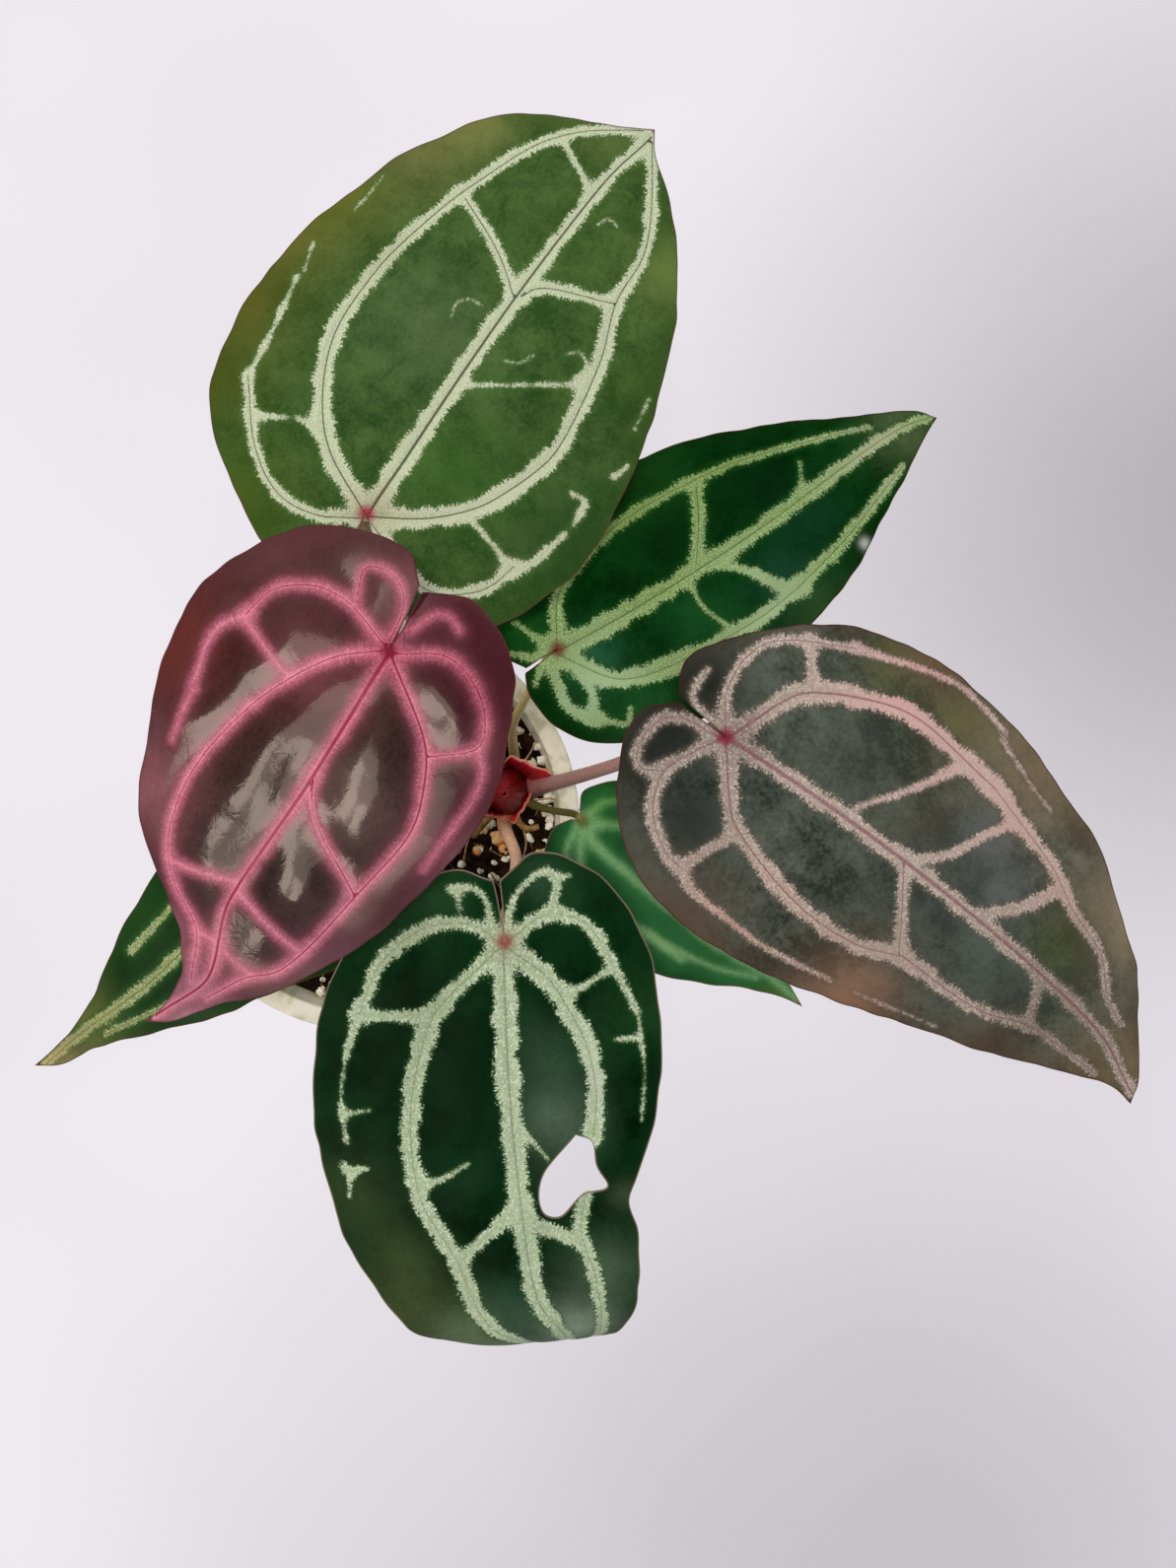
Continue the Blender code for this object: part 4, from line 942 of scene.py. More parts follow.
def tubeTree():
    tree, given = geometryTree("tubeAlongLine", {
        "Base radius": "Float", "Top radius": "Float", "Waist": "Float", "Foot flare": "Float",
        "Knuckle": "Float", "Lumps": "Float", "Sides": "Int", "Material": "Material"})
    curve = addNode(tree, "GeometryNodeMeshToCurve", None, {"Mesh": given["Geometry"]})
    share = addNode(tree, "GeometryNodeSplineParameter").outputs["Factor"]
    width = mapped(tree, share, 0.0, 1.0, given["Base radius"], given["Top radius"])
    belly = maths(tree, "SINE", maths(tree, "MULTIPLY", share, pi))
    width = maths(tree, "SUBTRACT", width, maths(tree, "MULTIPLY", belly, given["Waist"]))
    width = maths(tree, "ADD", width, mapped(tree, share, 0.0, 0.14, given["Foot flare"], 0.0, smooth=True))
    width = maths(tree, "ADD", width, mapped(tree, share, 0.86, 0.92, 0.0, given["Knuckle"], smooth=True))
    marked = addNode(tree, "GeometryNodeStoreNamedAttribute", {"data_type": "FLOAT", "domain": "POINT"}, {
        "Geometry": curve, "Name": "tubeShare", "Value": share})
    ring = addNode(tree, "GeometryNodeCurvePrimitiveCircle", None, {
        "Resolution": given["Sides"], "Radius": 1.0})
    tube = addNode(tree, "GeometryNodeCurveToMesh", None, {
        "Curve": marked, "Profile Curve": ring, "Scale": width, "Fill Caps": True})
    tube = roughened(tree, tube, 180.0, given["Lumps"])
    tube = addNode(tree, "GeometryNodeSetShadeSmooth", None, {"Geometry": tube})
    tube = addNode(tree, "GeometryNodeRealizeInstances", None, {"Geometry": tube})
    tube = addNode(tree, "GeometryNodeSetMaterial", None, {"Geometry": tube, "Material": given["Material"]})
    addNode(tree, "NodeGroupOutput", None, {"Geometry": tube})
    return tree


def grainTree():
    tree, given = geometryTree("strewnGrains", {
        "Spacing": "Float", "Size": "Float", "Size spread": "Float", "Stretch": "Vector", "Lumps": "Float",
        "Lump scale": "Float", "Facets": "Int", "Seed": "Int", "Material": "Material"})
    points = addNode(tree, "GeometryNodeDistributePointsOnFaces", {"distribute_method": "POISSON"}, {
        "Mesh": given["Geometry"], "Distance Min": given["Spacing"], "Density Max": 1e6,
        "Seed": given["Seed"]})
    grain = addNode(tree, "GeometryNodeMeshIcoSphere", None, {
        "Radius": 0.5, "Subdivisions": given["Facets"]})
    turn = addNode(tree, "FunctionNodeRandomValue", {"data_type": "FLOAT_VECTOR"}, {
        "Max": (0.9, 0.9, tau), "Seed": given["Seed"]})
    size = addNode(tree, "FunctionNodeRandomValue", {"data_type": "FLOAT"}, {
        "Min": maths(tree, "SUBTRACT", given["Size"], given["Size spread"]),
        "Max": maths(tree, "ADD", given["Size"], given["Size spread"]), "Seed": given["Seed"]})
    scale = addNode(tree, "ShaderNodeVectorMath", {"operation": "SCALE"}, {
        "Vector": given["Stretch"], "Scale": size})
    strewn = addNode(tree, "GeometryNodeInstanceOnPoints", None, {
        "Points": points.outputs["Points"], "Instance": grain.outputs["Mesh"],
        "Rotation": turn.outputs["Value"], "Scale": scale})
    strewn = addNode(tree, "GeometryNodeRealizeInstances", None, {"Geometry": strewn})
    strewn = roughened(tree, strewn, given["Lump scale"], given["Lumps"])
    strewn = addNode(tree, "GeometryNodeSetMaterial", None, {
        "Geometry": strewn, "Material": given["Material"]})
    addNode(tree, "NodeGroupOutput", None, {"Geometry": strewn})
    return tree


def lineMesh(name, route):
    mesh = bpy.data.meshes.new(name)
    mesh.from_pydata(np.array(route) * mm, [(k, k + 1) for k in range(len(route) - 1)], [])
    return mesh


# Crown: where the short stem stands in the mix, and the gap that the CAD pieces keep to each other
crown = {"x": 35.8, "y": 8.6, "radius": 6.2, "seatGap": 0.3, "depth": 15.0, "rise": 9.0, "soilDrop": 8.0}
# Stalks: how they bend at both ends and how far they run on into stem and blade, and the skin's colour low
# down, in the middle and at the knuckle under the blade
stalkLook = {
    "points": 90, "sides": 20, "waist": 0.2, "flare": 0.5, "knuckle": 0.22, "lumps": 0.12,
    "firstBend": 1.4, "kneeDrop": 3.5, "kneeBack": 2, "intoStem": 3, "intoBlade": 0.7,
    "skins": {
        "top": ("#6a2a22", "#9a9058", "#8b7a58"), "right": ("#7a3a2a", "#b9a96c", "#a8985f"),
        "pink": ("#7a2228", "#96606a", "#a84a60"), "bronze": ("#7d3a3c", "#a57f78", "#8e5c5c"),
        "front": ("#b5402c", "#c9a182", "#ac8c6c"), "small": ("#4a3418", "#524d26", "#7f7c44"),
        "rear": ("#6a2a22", "#7d7440", "#7d7a48")},
}


def stalkRoute(leaf):
    # Middle line from the stem's side to the blade's underside, as the CAD stalk runs.
    bearing, rise, baseRadius, topRadius = leaf["stalk"]
    solidBlade = 0.8  # thickness of the CAD blade, which the CAD stalk ends under
    out = np.array([cos(radians(bearing)), sin(radians(bearing)), 0])
    start = np.array([crown["x"], crown["y"], rim + rise])
    start = start + out * (crown["radius"] + crown["seatGap"] + 0.5 * baseRadius)
    bend = start + (out + np.array([0, 0, 0.9])) * stalkLook["firstBend"]
    pitch = float(spineOf(leaf, np.zeros(1))[2][0])
    turn = radians(leaf["heading"])
    forward = np.array([cos(turn) * cos(pitch), sin(turn) * cos(pitch), sin(pitch)])
    down = np.array([cos(turn) * sin(pitch), sin(turn) * sin(pitch), -cos(pitch)])
    joint = surfaceOf(leaf, np.zeros(1), np.zeros(1), np.zeros(1), np.zeros(1))[0]
    end = joint + down * (solidBlade + crown["seatGap"] + 0.5 * topRadius)
    knee = end + down * stalkLook["kneeDrop"] - forward * stalkLook["kneeBack"]
    passes = [np.array([x, y, rim + height]) for x, y, height in leaf["passes"]]
    inner = start - out * stalkLook["intoStem"]
    tip = end - down * stalkLook["intoBlade"]
    return smoothLine([inner, start, bend, *passes, knee, end, tip], stalkLook["points"])


def stalkSkin(name, colours):
    # Leaf stalk: smooth waxy skin with fine lengthwise fibres, reddened low down where the sheath dried off.
    material, tree, shader = newMaterial(f"stalkSkin_{name}", {
        "Roughness": 0.42, "IOR": 1.42, "Specular IOR Level": 0.4})
    share = attribute(tree, "tubeShare")["Fac"]
    place = objectPlace(tree)
    shifted = maths(tree, "MULTIPLY_ADD", noiseOver(tree, place, 400.0, 3.0), 0.12, share)
    low, middle, high = colours
    ramp = rampOf(tree, shifted, (0.04, low), (0.97, high), (0.24, middle), (0.9, middle))
    fleck = noiseOver(tree, place, 1500.0, 1.0)
    shade = addNode(tree, "ShaderNodeHueSaturation", None, {
        "Color": ramp, "Value": mapped(tree, fleck, 0.3, 0.7, 0.82, 1.12)})
    joinShader(tree, shader, {"Base Color": shade, "Normal": bumpFrom(tree, fleck, 0.25, 0.15)})
    return material


def makeStalk(name, leaf, tree):
    _, _, baseRadius, topRadius = leaf["stalk"]
    piece = grow(f"petiole_{name}", lineMesh(f"petiole_{name}", stalkRoute(leaf)), tree, {
        "Base radius": baseRadius * mm, "Top radius": topRadius * mm, "Waist": stalkLook["waist"] * mm,
        "Foot flare": stalkLook["flare"] * mm, "Knuckle": stalkLook["knuckle"] * mm,
        "Lumps": stalkLook["lumps"] * mm, "Sides": stalkLook["sides"],
        "Material": stalkSkin(name, stalkLook["skins"][name])})
    settle(piece, "stalk", f"stalk_{name}")


# Pot: injection-moulded polypropylene, thin and slightly translucent, with a flat lip
pot = {
    "lipRadius": 55.0, "lipWidth": 5.0, "skirtDrop": 8.0, "baseRadius": 38.3, "wall": 1.2, "floor": 2.0,
    "sides": 192, "drainHoles": 6, "drainRadius": 3.0, "drainCircle": 27.0, "ribs": 3, "ribDepth": 0.25,
    "firstRib": 22, "ribSpacing": 24, "rounding": 0.7, "warp": 0.25, "warpSpan": 30,
    "colour": "#ece7d8", "stain": "#d3cdb6", "algae": "#a9aa8a", "dust": "#c2b698",
}


def wallRadius(height):
    low, high = pot["baseRadius"] - pot["wall"], pot["lipRadius"] - pot["lipWidth"]
    return low + (high - low) * height / rim


def turnedMesh(name, profile, sides, wobble=None):
    # A solid turned round the Z axis from (radius, height) points. wobble may shift each point.
    places, rings = [], []
    for radius, height in profile:
        count = sides if radius else 1
        rings.append(range(len(places), len(places) + count))
        for k in range(count):
            turn = tau * k / sides
            place = (radius * cos(turn), radius * sin(turn), height)
            places.append(wobble(place) if wobble else place)
    faces = []
    for low, high in zip(rings, rings[1:]):
        for k in range(sides):
            corners = (low[k % len(low)], low[(k + 1) % len(low)],
                       high[(k + 1) % len(high)], high[k % len(high)])
            faces.append(tuple(dict.fromkeys(corners)))
    mesh = bpy.data.meshes.new(name)
    mesh.from_pydata(np.array(places) * mm, [], faces)
    mesh.shade_smooth()
    return mesh


def rounded(corners, radius, steps=5):
    # The same profile with each inner corner rounded off over about this distance.
    given = [np.array(c, float) for c in corners]
    made = [given[0]]
    for before, corner, after in zip(given, given[1:], given[2:]):
        into, out = before - corner, after - corner
        cut = min(radius, 0.45 * np.linalg.norm(into), 0.45 * np.linalg.norm(out))
        first, last = corner + into / np.linalg.norm(into) * cut, corner + out / np.linalg.norm(out) * cut
        for t in np.linspace(0, 1, steps):
            made.append((1 - t) ** 2 * first + 2 * t * (1 - t) * corner + t ** 2 * last)
    return [tuple(p) for p in made + [given[-1]]]


def makePot():
    under, skirt = rim - pot["wall"], pot["lipRadius"] - pot["wall"]
    innerTop = pot["lipRadius"] - pot["lipWidth"]
    outer = [(0, 0), (pot["baseRadius"] - 0.6, 0), (pot["baseRadius"], 1.2)]
    for k in range(pot["ribs"]):  # shallow rings moulded round the wall
        at = pot["firstRib"] + pot["ribSpacing"] * k
        for lift, depth in ((-1.5, 0), (-0.7, 1), (0.7, 1), (1.5, 0)):
            outer.append((wallRadius(at + lift) + pot["wall"] - depth * pot["ribDepth"], at + lift))
    inner = [(wallRadius(under) + pot["wall"], under), (skirt, under), (skirt, rim - pot["skirtDrop"]),
             (pot["lipRadius"], rim - pot["skirtDrop"]), (pot["lipRadius"], rim), (innerTop, rim),
             (wallRadius(pot["floor"]), pot["floor"]), (0, pot["floor"])]
    profile = rounded(outer + inner, pot["rounding"])

    def uneven(place):
        # Warped a little, as a thin moulding is, and more towards the lip.
        x, y, z = place
        sway = pot["warp"] * noise.noise(Vector((x, y, z)) / pot["warpSpan"]) * (z / rim)
        return (x * (1 + sway / 60), y * (1 + sway / 60), z - (abs(sway) if z > rim - 1 else 0))

    piece = addPiece("pot_shell", turnedMesh("pot_shell", profile, pot["sides"], uneven))
    drill = turnedMesh("drill", [(0, -4), (pot["drainRadius"], -4), (pot["drainRadius"], 6), (0, 6)], 32)
    cutters = []
    for k in range(pot["drainHoles"]):
        turn = tau * (k + 0.5) / pot["drainHoles"]
        cutter = addPiece("drainCutter", drill)
        cutter.location = (pot["drainCircle"] * mm * cos(turn), pot["drainCircle"] * mm * sin(turn), 0)
        cutters.append(cutter)
        cut = piece.modifiers.new("drain", "BOOLEAN")
        cut.operation = "DIFFERENCE"
        cut.object = cutter
    graph = bpy.context.evaluated_depsgraph_get()
    graph.update()
    holed = bpy.data.meshes.new_from_object(piece.evaluated_get(graph))
    piece.modifiers.clear()
    piece.data = holed
    for cutter in cutters:
        bpy.data.objects.remove(cutter)
    holed.shade_smooth()
    holed.set_sharp_from_angle(angle=radians(40))
    holed.materials.clear()
    holed.materials.append(potPlastic())
    settle(piece, "pot_plastic", "pot")


def potPlastic():
    # Natural polypropylene: soft satin, lets a little light in, yellowed, with algae film and splashes near
    # the rim and dust low down. Heights are in metres.
    material, tree, shader = newMaterial("mouldedPolypropylene", {
        "Roughness": 0.42, "IOR": 1.49, "Subsurface Weight": 0.25, "Subsurface Scale": 0.003,
        "Subsurface Radius": (1.0, 0.8, 0.5)})
    place = objectPlace(tree)
    height = addNode(tree, "ShaderNodeSeparateXYZ", None, {"Vector": place}).outputs["Z"]
    film = noiseOver(tree, place, 160.0, 5.0)
    long = addNode(tree, "ShaderNodeVectorMath", {"operation": "MULTIPLY"}, {0: place, 1: (1.0, 1.0, 0.12)})
    streaks = noiseOver(tree, long, 220.0, 4.0)
    paint = blend(tree, mapped(tree, film, 0.45, 0.75), pot["colour"], pot["stain"])
    nearRim = mapped(tree, height, 0.070, 0.093, 0.0, 0.8)
    green = maths(tree, "MULTIPLY", mapped(tree, streaks, 0.52, 0.68), nearRim)
    paint = blend(tree, green, paint, pot["algae"])
    soiled = maths(tree, "MULTIPLY", streaks, mapped(tree, height, 0.0, 0.03, 0.7, 0.0))
    paint = blend(tree, soiled, paint, pot["dust"])
    joinShader(tree, shader, {"Base Color": paint, "Normal": bumpFrom(tree, streaks, 0.15, 0.2)})
    return material


# Potting mix: dark coir and compost with perlite, bark chips and baked clay strewn over it, and for each
# finish the larger pebbles that show round the crown, each with its place and length
mix = {
    "sides": 150, "rings": 46, "bump": 1.8, "bumpSpan": 4.5, "crumb": 0.4, "crumbSpan": 1.4,
    # Near black: the mix's own dark colour with painted shade of the voids between grains laid into it
    "colour": "#0a0604", "light": "#21140a",
    "strewn": {
        "perlite": dict(spacing=4.0, size=2.2, spread=0.9, stretch=(1.0, 0.85, 0.75), facets=2, seed=3,
                        lumps=0.9, lumpScale=700.0),
        "barkChip": dict(spacing=4.4, size=4.4, spread=1.8, stretch=(1.0, 0.55, 0.3), facets=2, seed=11,
                         lumps=1.2, lumpScale=350.0),
        "clayGrain": dict(spacing=10.0, size=2.6, spread=0.8, stretch=(1.0, 0.9, 0.7), facets=2, seed=23,
                          lumps=0.7, lumpScale=500.0),
        "coirFibre": dict(spacing=5.0, size=7.0, spread=3.0, stretch=(1.0, 0.06, 0.06), facets=2, seed=47,
                          lumps=2.4, lumpScale=160.0),
        "compostCrumb": dict(spacing=1.7, size=1.3, spread=0.6, stretch=(1.0, 0.8, 0.7), facets=1, seed=31,
                             lumps=0.5, lumpScale=900.0)},
    "pebbles": {
        "perlite": [(31.1, 0.1, 3.2), (28.7, -7, 2.3), (35.1, -9.6, 2.1), (31.6, -14.1, 2.0), (39, 24.6, 2.2),
                    (42, 15.2, 3.4), (45, 16.8, 2.6), (45.2, 10, 2.4), (42.4, 8, 2.6), (44.4, 5.6, 3.2),
                    (46.4, 3.4, 3.4), (46.7, 6.9, 3.2), (46.9, -0.7, 2.2), (45.4, -7, 2.0), (41.5, -3.4, 2.0),
                    (-14, -45, 2.6), (-11, -43, 2.2), (43.6, 20.4, 2.4)],
        "clayGrain": [(33.7, -3.8, 4.6), (34.8, -7, 2.7), (46, 13.6, 2.6), (29.8, -1.8, 2.0),
                      (-9.4, -45.6, 3.0)],
        "barkChip": [(25.6, -9.2, 5.0), (28, -10.6, 4.0), (41, 21.5, 6.0), (40.4, -6.4, 5.0),
                     (38.2, -12, 4.0)]},
}


def soilHeight(x, y):
    coarse = noise.noise(Vector((x, y, 0)) / mix["bumpSpan"])
    fine = noise.noise(Vector((x, y, 40)) / mix["crumbSpan"])
    return rim - crown["soilDrop"] + mix["bump"] * coarse + mix["crumb"] * fine


def makeMix(tree):
    edge = rim - crown["soilDrop"] - mix["bump"]
    gap = crown["seatGap"]
    rimRadius, foot = wallRadius(edge) - gap, pot["floor"] + gap
    sides = [(0, foot), (wallRadius(foot) - gap - 1, foot), (wallRadius(foot + 2) - gap, foot + 2),
             (rimRadius, edge)]
    radii = [(1 - k / mix["rings"]) * rimRadius for k in range(1, mix["rings"] + 1)]
    crust = [(radius, rim - crown["soilDrop"]) for radius in radii]

    def strewnTop(place):
        x, y, z = place
        return (x, y, soilHeight(x, y)) if z > edge + 0.1 else place

    body = addPiece("mix_body", turnedMesh("mix_body", sides + crust, mix["sides"], strewnTop), [compost()])
    settle(body, "potting_mix", "potting_mix")
    finishes = {"perlite": perlite(), "barkChip": bark(), "clayGrain": clay(), "coirFibre": coir(),
                "compostCrumb": compost()}
    for name, grain in mix["strewn"].items():
        def bedHeight(place):
            # Grains lie on the mix, a tenth of their size up.
            return (place[0], place[1], soilHeight(place[0], place[1]) + 0.1 * grain["size"])

        rings = [(rimRadius - 0.5 * grain["size"], 0), *[(radius, 0) for radius in radii[6::6]]]
        piece = grow(name, turnedMesh(name, rings, 60, bedHeight), tree, {
            "Spacing": grain["spacing"] * mm, "Size": grain["size"] * mm, "Size spread": grain["spread"] * mm,
            "Stretch": grain["stretch"], "Lumps": grain["lumps"] * mm, "Lump scale": grain["lumpScale"],
            "Facets": grain["facets"], "Seed": grain["seed"], "Material": finishes[name]})
        settle(piece, "potting_mix")
    for name, stones in mix["pebbles"].items():
        settle(addPiece(f"{name}_pebbles", pebbles(name, stones), [finishes[name]]), "potting_mix")


def pebbles(name, stones):
    # Lumpy stones half sunk in the mix.
    turnEach, lumpDepth = 2.4, 0.55
    stretch = mix["strewn"][name]["stretch"]
    form = bmesh.new()
    for index, (x, y, length) in enumerate(stones):
        made = bmesh.ops.create_icosphere(form, subdivisions=3, radius=0.5)["verts"]
        turn = turnEach * index
        for vert in made:
            point = Vector([c * s for c, s in zip(vert.co, stretch)])
            point *= length * (1 + lumpDepth * noise.noise(vert.co * 3.2 + Vector((index, 0, 7))))
            vert.co = Vector((x + point.x * cos(turn) - point.y * sin(turn),
                              y + point.x * sin(turn) + point.y * cos(turn),
                              soilHeight(x, y) + 0.35 * length * stretch[2] + point.z)) * mm
    mesh = bpy.data.meshes.new(f"{name}_pebbles")
    form.to_mesh(mesh)
    form.free()
    mesh.shade_smooth()
    return mesh


def mottled(name, finish, colours, size, bumpDepth):
    # A rough mineral or woody finish of two tones, with mottles of this size in mm.
    material, tree, shader = newMaterial(name, finish)
    mottle = noiseOver(tree, objectPlace(tree), 1 / (size * mm), 4.0)
    paint = blend(tree, mapped(tree, mottle, 0.35, 0.65), *colours)
    joinShader(tree, shader, {"Base Color": paint, "Normal": bumpFrom(tree, mottle, 0.8, bumpDepth)})
    return material


def compost():
    # Damp coir and compost: crumbs, almost no shine, near black both for its own dark colour and as painted
    # shade of the voids between grains
    return mottled("dampCompostAndVoidShade", {"Roughness": 0.9, "Specular IOR Level": 0.2},
                   (mix["colour"], mix["light"]), 2.2, 0.6)


def perlite():
    # Perlite: puffed volcanic glass, chalky and pitted
    return mottled("perlite", {"Roughness": 0.85, "IOR": 1.5}, ("#f3efe4", "#cfc4a6"), 1.6, 0.3)


def coir():
    # Coconut fibre: thin fawn threads
    return mottled("coirFibre", {"Roughness": 0.8}, ("#4a2f1a", "#9a7446"), 2.0, 0.1)


def bark():
    # Composted pine bark: flat chips, dark with reddish broken faces
    return mottled("pineBark", {"Roughness": 0.75, "Specular IOR Level": 0.3},
                   ("#080402", "#2e1b0e"), 3.0, 0.5)


def clay():
    # Baked clay and pumice: porous, orange to sand coloured
    return mottled("bakedClay", {"Roughness": 0.85}, ("#c9773f", "#e3c08a"), 5.0, 0.3)


# Sheaths: red wraps that open from the stem, one of them dry. foot is how far out a wrap starts and low its
# height over the rim there. Its edge runs through (bearing, distance from the stem's middle, height over the
# rim), and rolls over by curl and turn. Its colours run from the foot to the edge.
sheaths = {
    "sheath_wing": dict(
        foot=5.7, low=-3.0, curl=0.32, turn=170, colours=("#3c0208", "#a0121e", "#c92a38", "#dc9a8e"),
        edge=[(92, 7.4, 4.5), (80, 9.0, 6.6), (60, 8.7, 8.0), (40, 9.6, 8.4), (27, 11.6, 8.2),
              (19.5, 12.8, 7.6)]),
    "sheath_tongue": dict(
        foot=5.7, low=-3.5, curl=0.22, turn=150, colours=("#3a0206", "#8c1618", "#bd4232", "#d07c68"),
        edge=[(-88, 7.0, 2.4), (-76, 8.3, 1.5), (-62, 6.9, 3.0), (-40, 6.1, 4.6), (-20, 6.2, 5.0),
              (-5, 6.5, 4.0)]),
    "sheath_dry": dict(
        foot=5.7, low=-4.5, curl=0.3, turn=120, colours=("#3f2414", "#6f4a2c", "#8a6238", "#b2905e"),
        edge=[(158, 6.9, 4.5), (176, 9.6, 6.0), (192, 7.0, 4.6)]),
    "sheath_back": dict(
        foot=5.6, low=-4.0, curl=0.35, turn=150, colours=("#2c0308", "#6e0d16", "#a0242c", "#c06a5c"),
        edge=[(98, 6.8, 6.0), (125, 7.4, 7.6), (152, 6.7, 6.0)]),
    "sheath_side": dict(
        foot=5.6, low=-4.0, curl=0.35, turn=150, colours=("#2c0308", "#75141a", "#9c2c2c", "#c06a5c"),
        edge=[(196, 6.6, 5.0), (232, 7.2, 6.2), (264, 6.5, 4.4)]),
    "sheath_bud": dict(
        foot=6.2, low=1.0, curl=0.25, turn=120, colours=("#3a0408", "#7a0e14", "#a01a20", "#b8443c"),
        edge=[(-128, 1.7, 8.8), (-92, 1.4, 9.4), (-55, 1.1, 9.9), (-15, 0.8, 10.2), (40, 0.6, 10.4),
              (110, 0.4, 10.5), (180, 0.4, 10.6), (242, 0.4, 10.6)]),
}
# Roots: their routes, counted from the stem's middle and the rim, and their radii
roots = {
    "sides": 14,
    "aerial": [[(1.5, -4.5, -2.6), (3.0, -8, -4.0), (5.6, -10, -4.9), (8.4, -9.4, -5.4)],
               [(-3, -5, -4), (-7, -9.5, -4.6), (-9, -12, -6)]],
    "radius": 1.2,
    "fine": [[(2, 5, -4), (6, 10, -5), (9, 17, -6.2)],
             [(5, -3, -5), (12, -2, -6), (19, -5, -6.4), (24, -3, -6.8)],
             [(-4, -4, -5), (-10, -12, -6), (-12, -20, -6.6)],
             [(3, -6, -5), (5, -14, -6), (2, -24, -6.6)],
             [(6, 15, -6.2), (9, 19, -3.2), (11.4, 21.5, 0.4), (14.2, 20.6, 0.9), (14.8, 18.4, 0.5)]],
    "fineRadius": 0.3,
}


def makeStem():
    scarSpacing, scarDepth, steps = 5, 0.4, 60
    low = rim - crown["soilDrop"] - crown["depth"] + crown["seatGap"]
    high = rim + crown["rise"]
    profile = [(0, low)]
    for k in range(steps + 1):
        height = low + (high - low) * k / steps
        bud = min(1, (high - height) / crown["rise"])
        scar = 0.5 + 0.5 * cos(tau * (height - low) / scarSpacing)
        radius = (crown["radius"] - scarDepth + scarDepth * scar ** 4) * bud ** 0.5
        profile.append((max(radius, 0), height))

    def knobbly(place):
        x, y, z = place
        swell = 1 + 0.05 * noise.noise(Vector((x, y, z)) / 3)
        return (crown["x"] + x * swell, crown["y"] + y * swell, z)

    skin = mottled("stemSkin", {"Roughness": 0.6}, ("#240507", "#641412"), 2.5, 0.3)
    piece = addPiece("stem_crown", turnedMesh("stem_crown", profile, 48, knobbly), [skin])
    settle(piece, "stem", "stem")


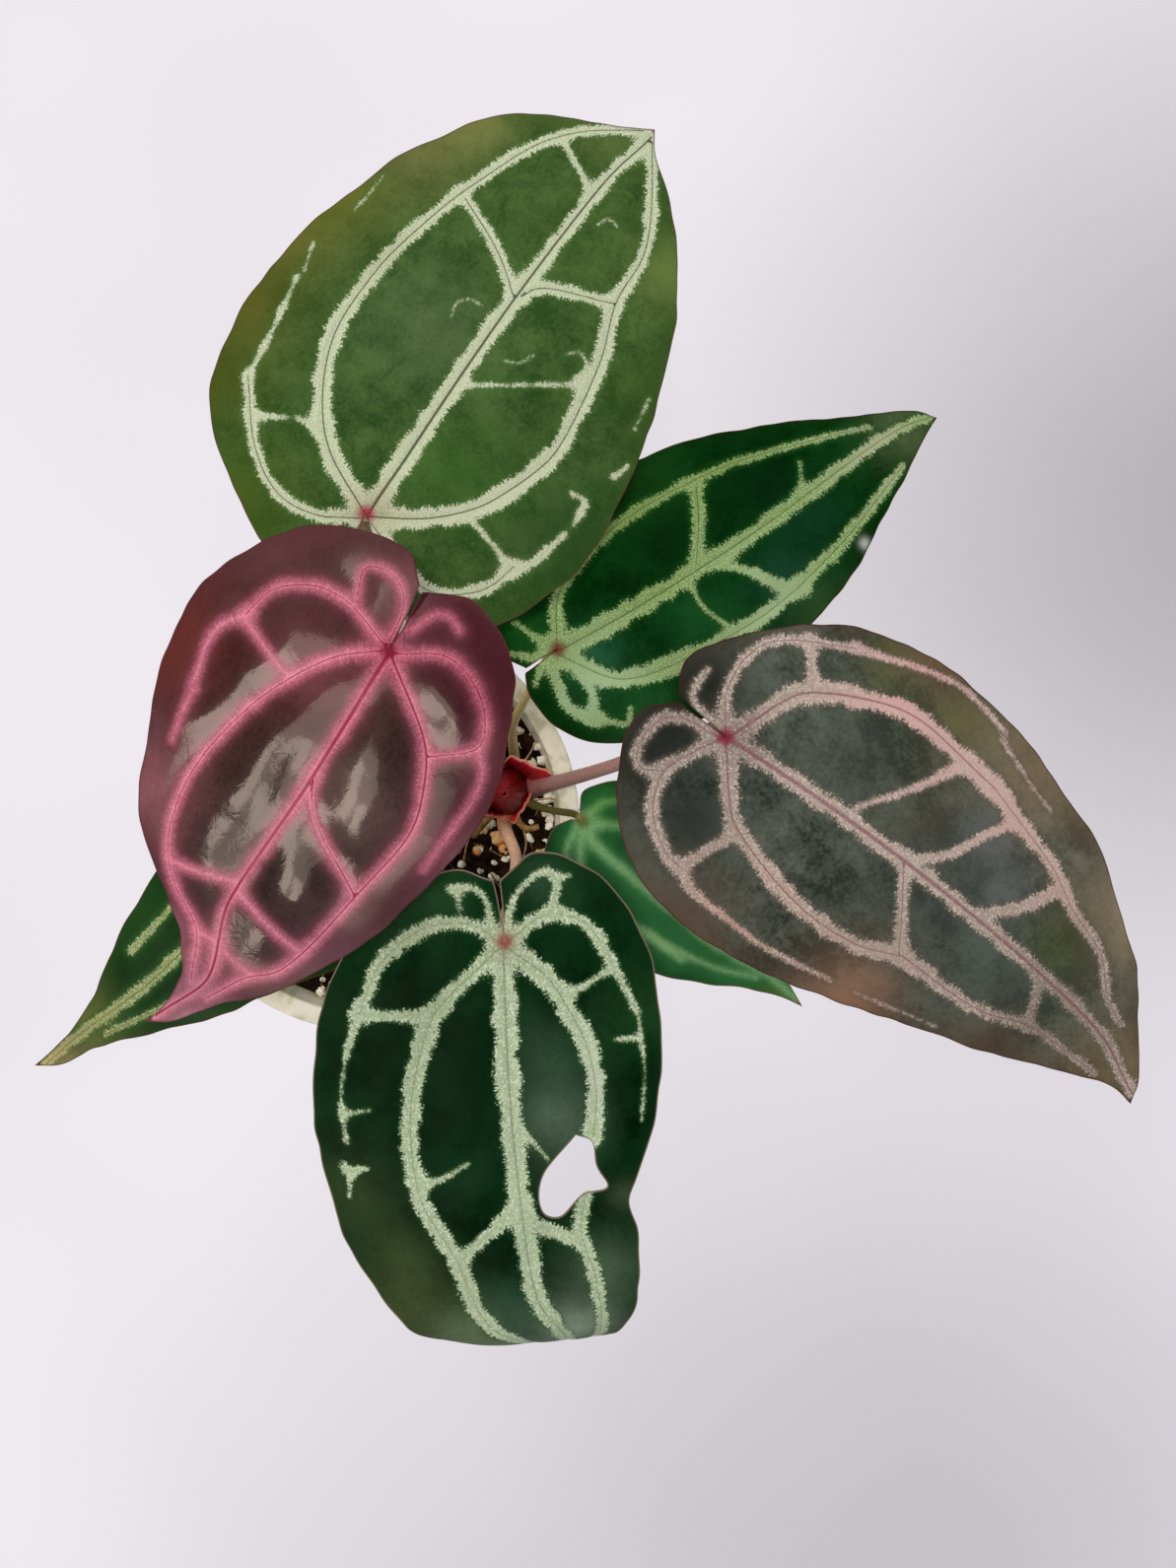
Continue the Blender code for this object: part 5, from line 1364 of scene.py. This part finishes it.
def makeSheath(name, shape):
    # A fleshy wrap that opens outwards from the stem, with a frilled free edge that rolls over.
    across, up, rolled = 56, 22, 9  # faces along the edge, up the wrap and over its roll
    opens = 1.7  # the power by which the wrap leans out with its height
    edge = smoothLine(shape["edge"], across)
    places, share = [], []
    for i in range(up + rolled + 1):
        rise, bend = min(i / up, 1), radians(shape["turn"]) * max(0, i - up) / rolled
        for k, (bearing, reach, high) in enumerate(edge):
            end = sin(pi * k / across) ** 0.5  # the roll and the frill die out where the wrap ends
            frill = 0.5 * end * noise.noise(Vector((bearing / 9, 2 * rise, shape["foot"] + shape["low"])))
            fold = 0.45 * sin(pi * rise) * end * noise.noise(Vector((bearing / 14, 0.8 * rise, shape["low"])))
            radius = shape["foot"] + (reach - shape["foot"] + frill) * rise ** opens + fold
            height = shape["low"] + (high - shape["low"]) * rise
            slope = np.array([opens * (reach - shape["foot"]), high - shape["low"]])
            slope /= np.linalg.norm(slope)
            roll = shape["curl"] * end
            radius += roll * (slope[0] * sin(bend) + slope[1] * (1 - cos(bend)))
            height += roll * (slope[1] * sin(bend) - slope[0] * (1 - cos(bend)))
            turn = radians(bearing)
            places.append((crown["x"] + radius * cos(turn), crown["y"] + radius * sin(turn), rim + height))
            share.append(i / (up + rolled))
    row = across + 1
    faces = [(i * row + k + 1, i * row + k, (i + 1) * row + k, (i + 1) * row + k + 1)
             for i in range(up + rolled) for k in range(across)]
    mesh = bpy.data.meshes.new(name)
    mesh.from_pydata(np.array(places) * mm, [], faces)
    mesh.shade_smooth()
    layer = mesh.attributes.new("sheathShare", "FLOAT", "POINT")
    layer.data.foreach_set("value", np.array(share, np.float32))
    piece = addPiece(f"{name}_skin", mesh, [sheathSkin(name, shape["colours"])])
    wall = piece.modifiers.new("thickness", "SOLIDIFY")
    wall.thickness = 0.4 * mm
    wall.offset = 0
    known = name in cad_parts
    settle(piece, "sheath_dry" if name == "sheath_dry" else "sheath_red", *([name] if known else []))


def sheathSkin(name, colours):
    # Sheath of a new leaf: fleshy and smooth when fresh, so it shines, and paper-dry along its edge.
    material, tree, shader = newMaterial(f"leafSheath_{name}", {"Roughness": 0.36, "IOR": 1.42})
    share = attribute(tree, "sheathShare")["Fac"]
    fibre = noiseOver(tree, objectPlace(tree), 900.0, 3.0)
    shifted = maths(tree, "MULTIPLY_ADD", fibre, 0.2, share)
    foot, wall, shoulder, lip = colours
    ramp = rampOf(tree, shifted, (0.2, foot), (0.95, lip), (0.55, wall), (0.84, shoulder))
    joinShader(tree, shader, {"Base Color": ramp, "Normal": bumpFrom(tree, fibre, 0.4, 0.2)})
    return material


def makeRoots(tree):
    # Aerial roots: corky brown skin. Rootlets: thin and fawn.
    skins = {"aerial": mottled("corkyRoot", {"Roughness": 0.8}, ("#6a4628", "#a8834c"), 1.5, 0.3),
             "fine": mottled("rootlet", {"Roughness": 0.8}, ("#8a6a48", "#c0a47c"), 1.0, 0.2)}
    for kind, radius in (("aerial", roots["radius"]), ("fine", roots["fineRadius"])):
        for index, path in enumerate(roots[kind], 1):
            route = smoothLine([(crown["x"] + x, crown["y"] + y, rim + z) for x, y, z in path], 30)
            piece = grow(f"root_{kind}_{index}", lineMesh(f"root_{kind}_{index}", route), tree, {
                "Base radius": radius * mm, "Top radius": 0.6 * radius * mm, "Waist": 0.0, "Foot flare": 0.0,
                "Knuckle": 0.0, "Lumps": 0.5 * radius * mm, "Sides": roots["sides"], "Material": skins[kind]})
            settle(piece, "stem")


print("camera, lights and floor")
makeCamera()
makeLight()
makeFloor()
print("pot")
makePot()
print("potting mix")
makeMix(grainTree())
print("crown")
tube = tubeTree()
makeStem()
for name, shape in sheaths.items():
    makeSheath(name, shape)
makeRoots(tube)
for order, (name, leaf) in enumerate(leaves.items()):
    print("leaf", name)
    makeStalk(name, leaf, tube)
    makeBlade(name, leaf, order)
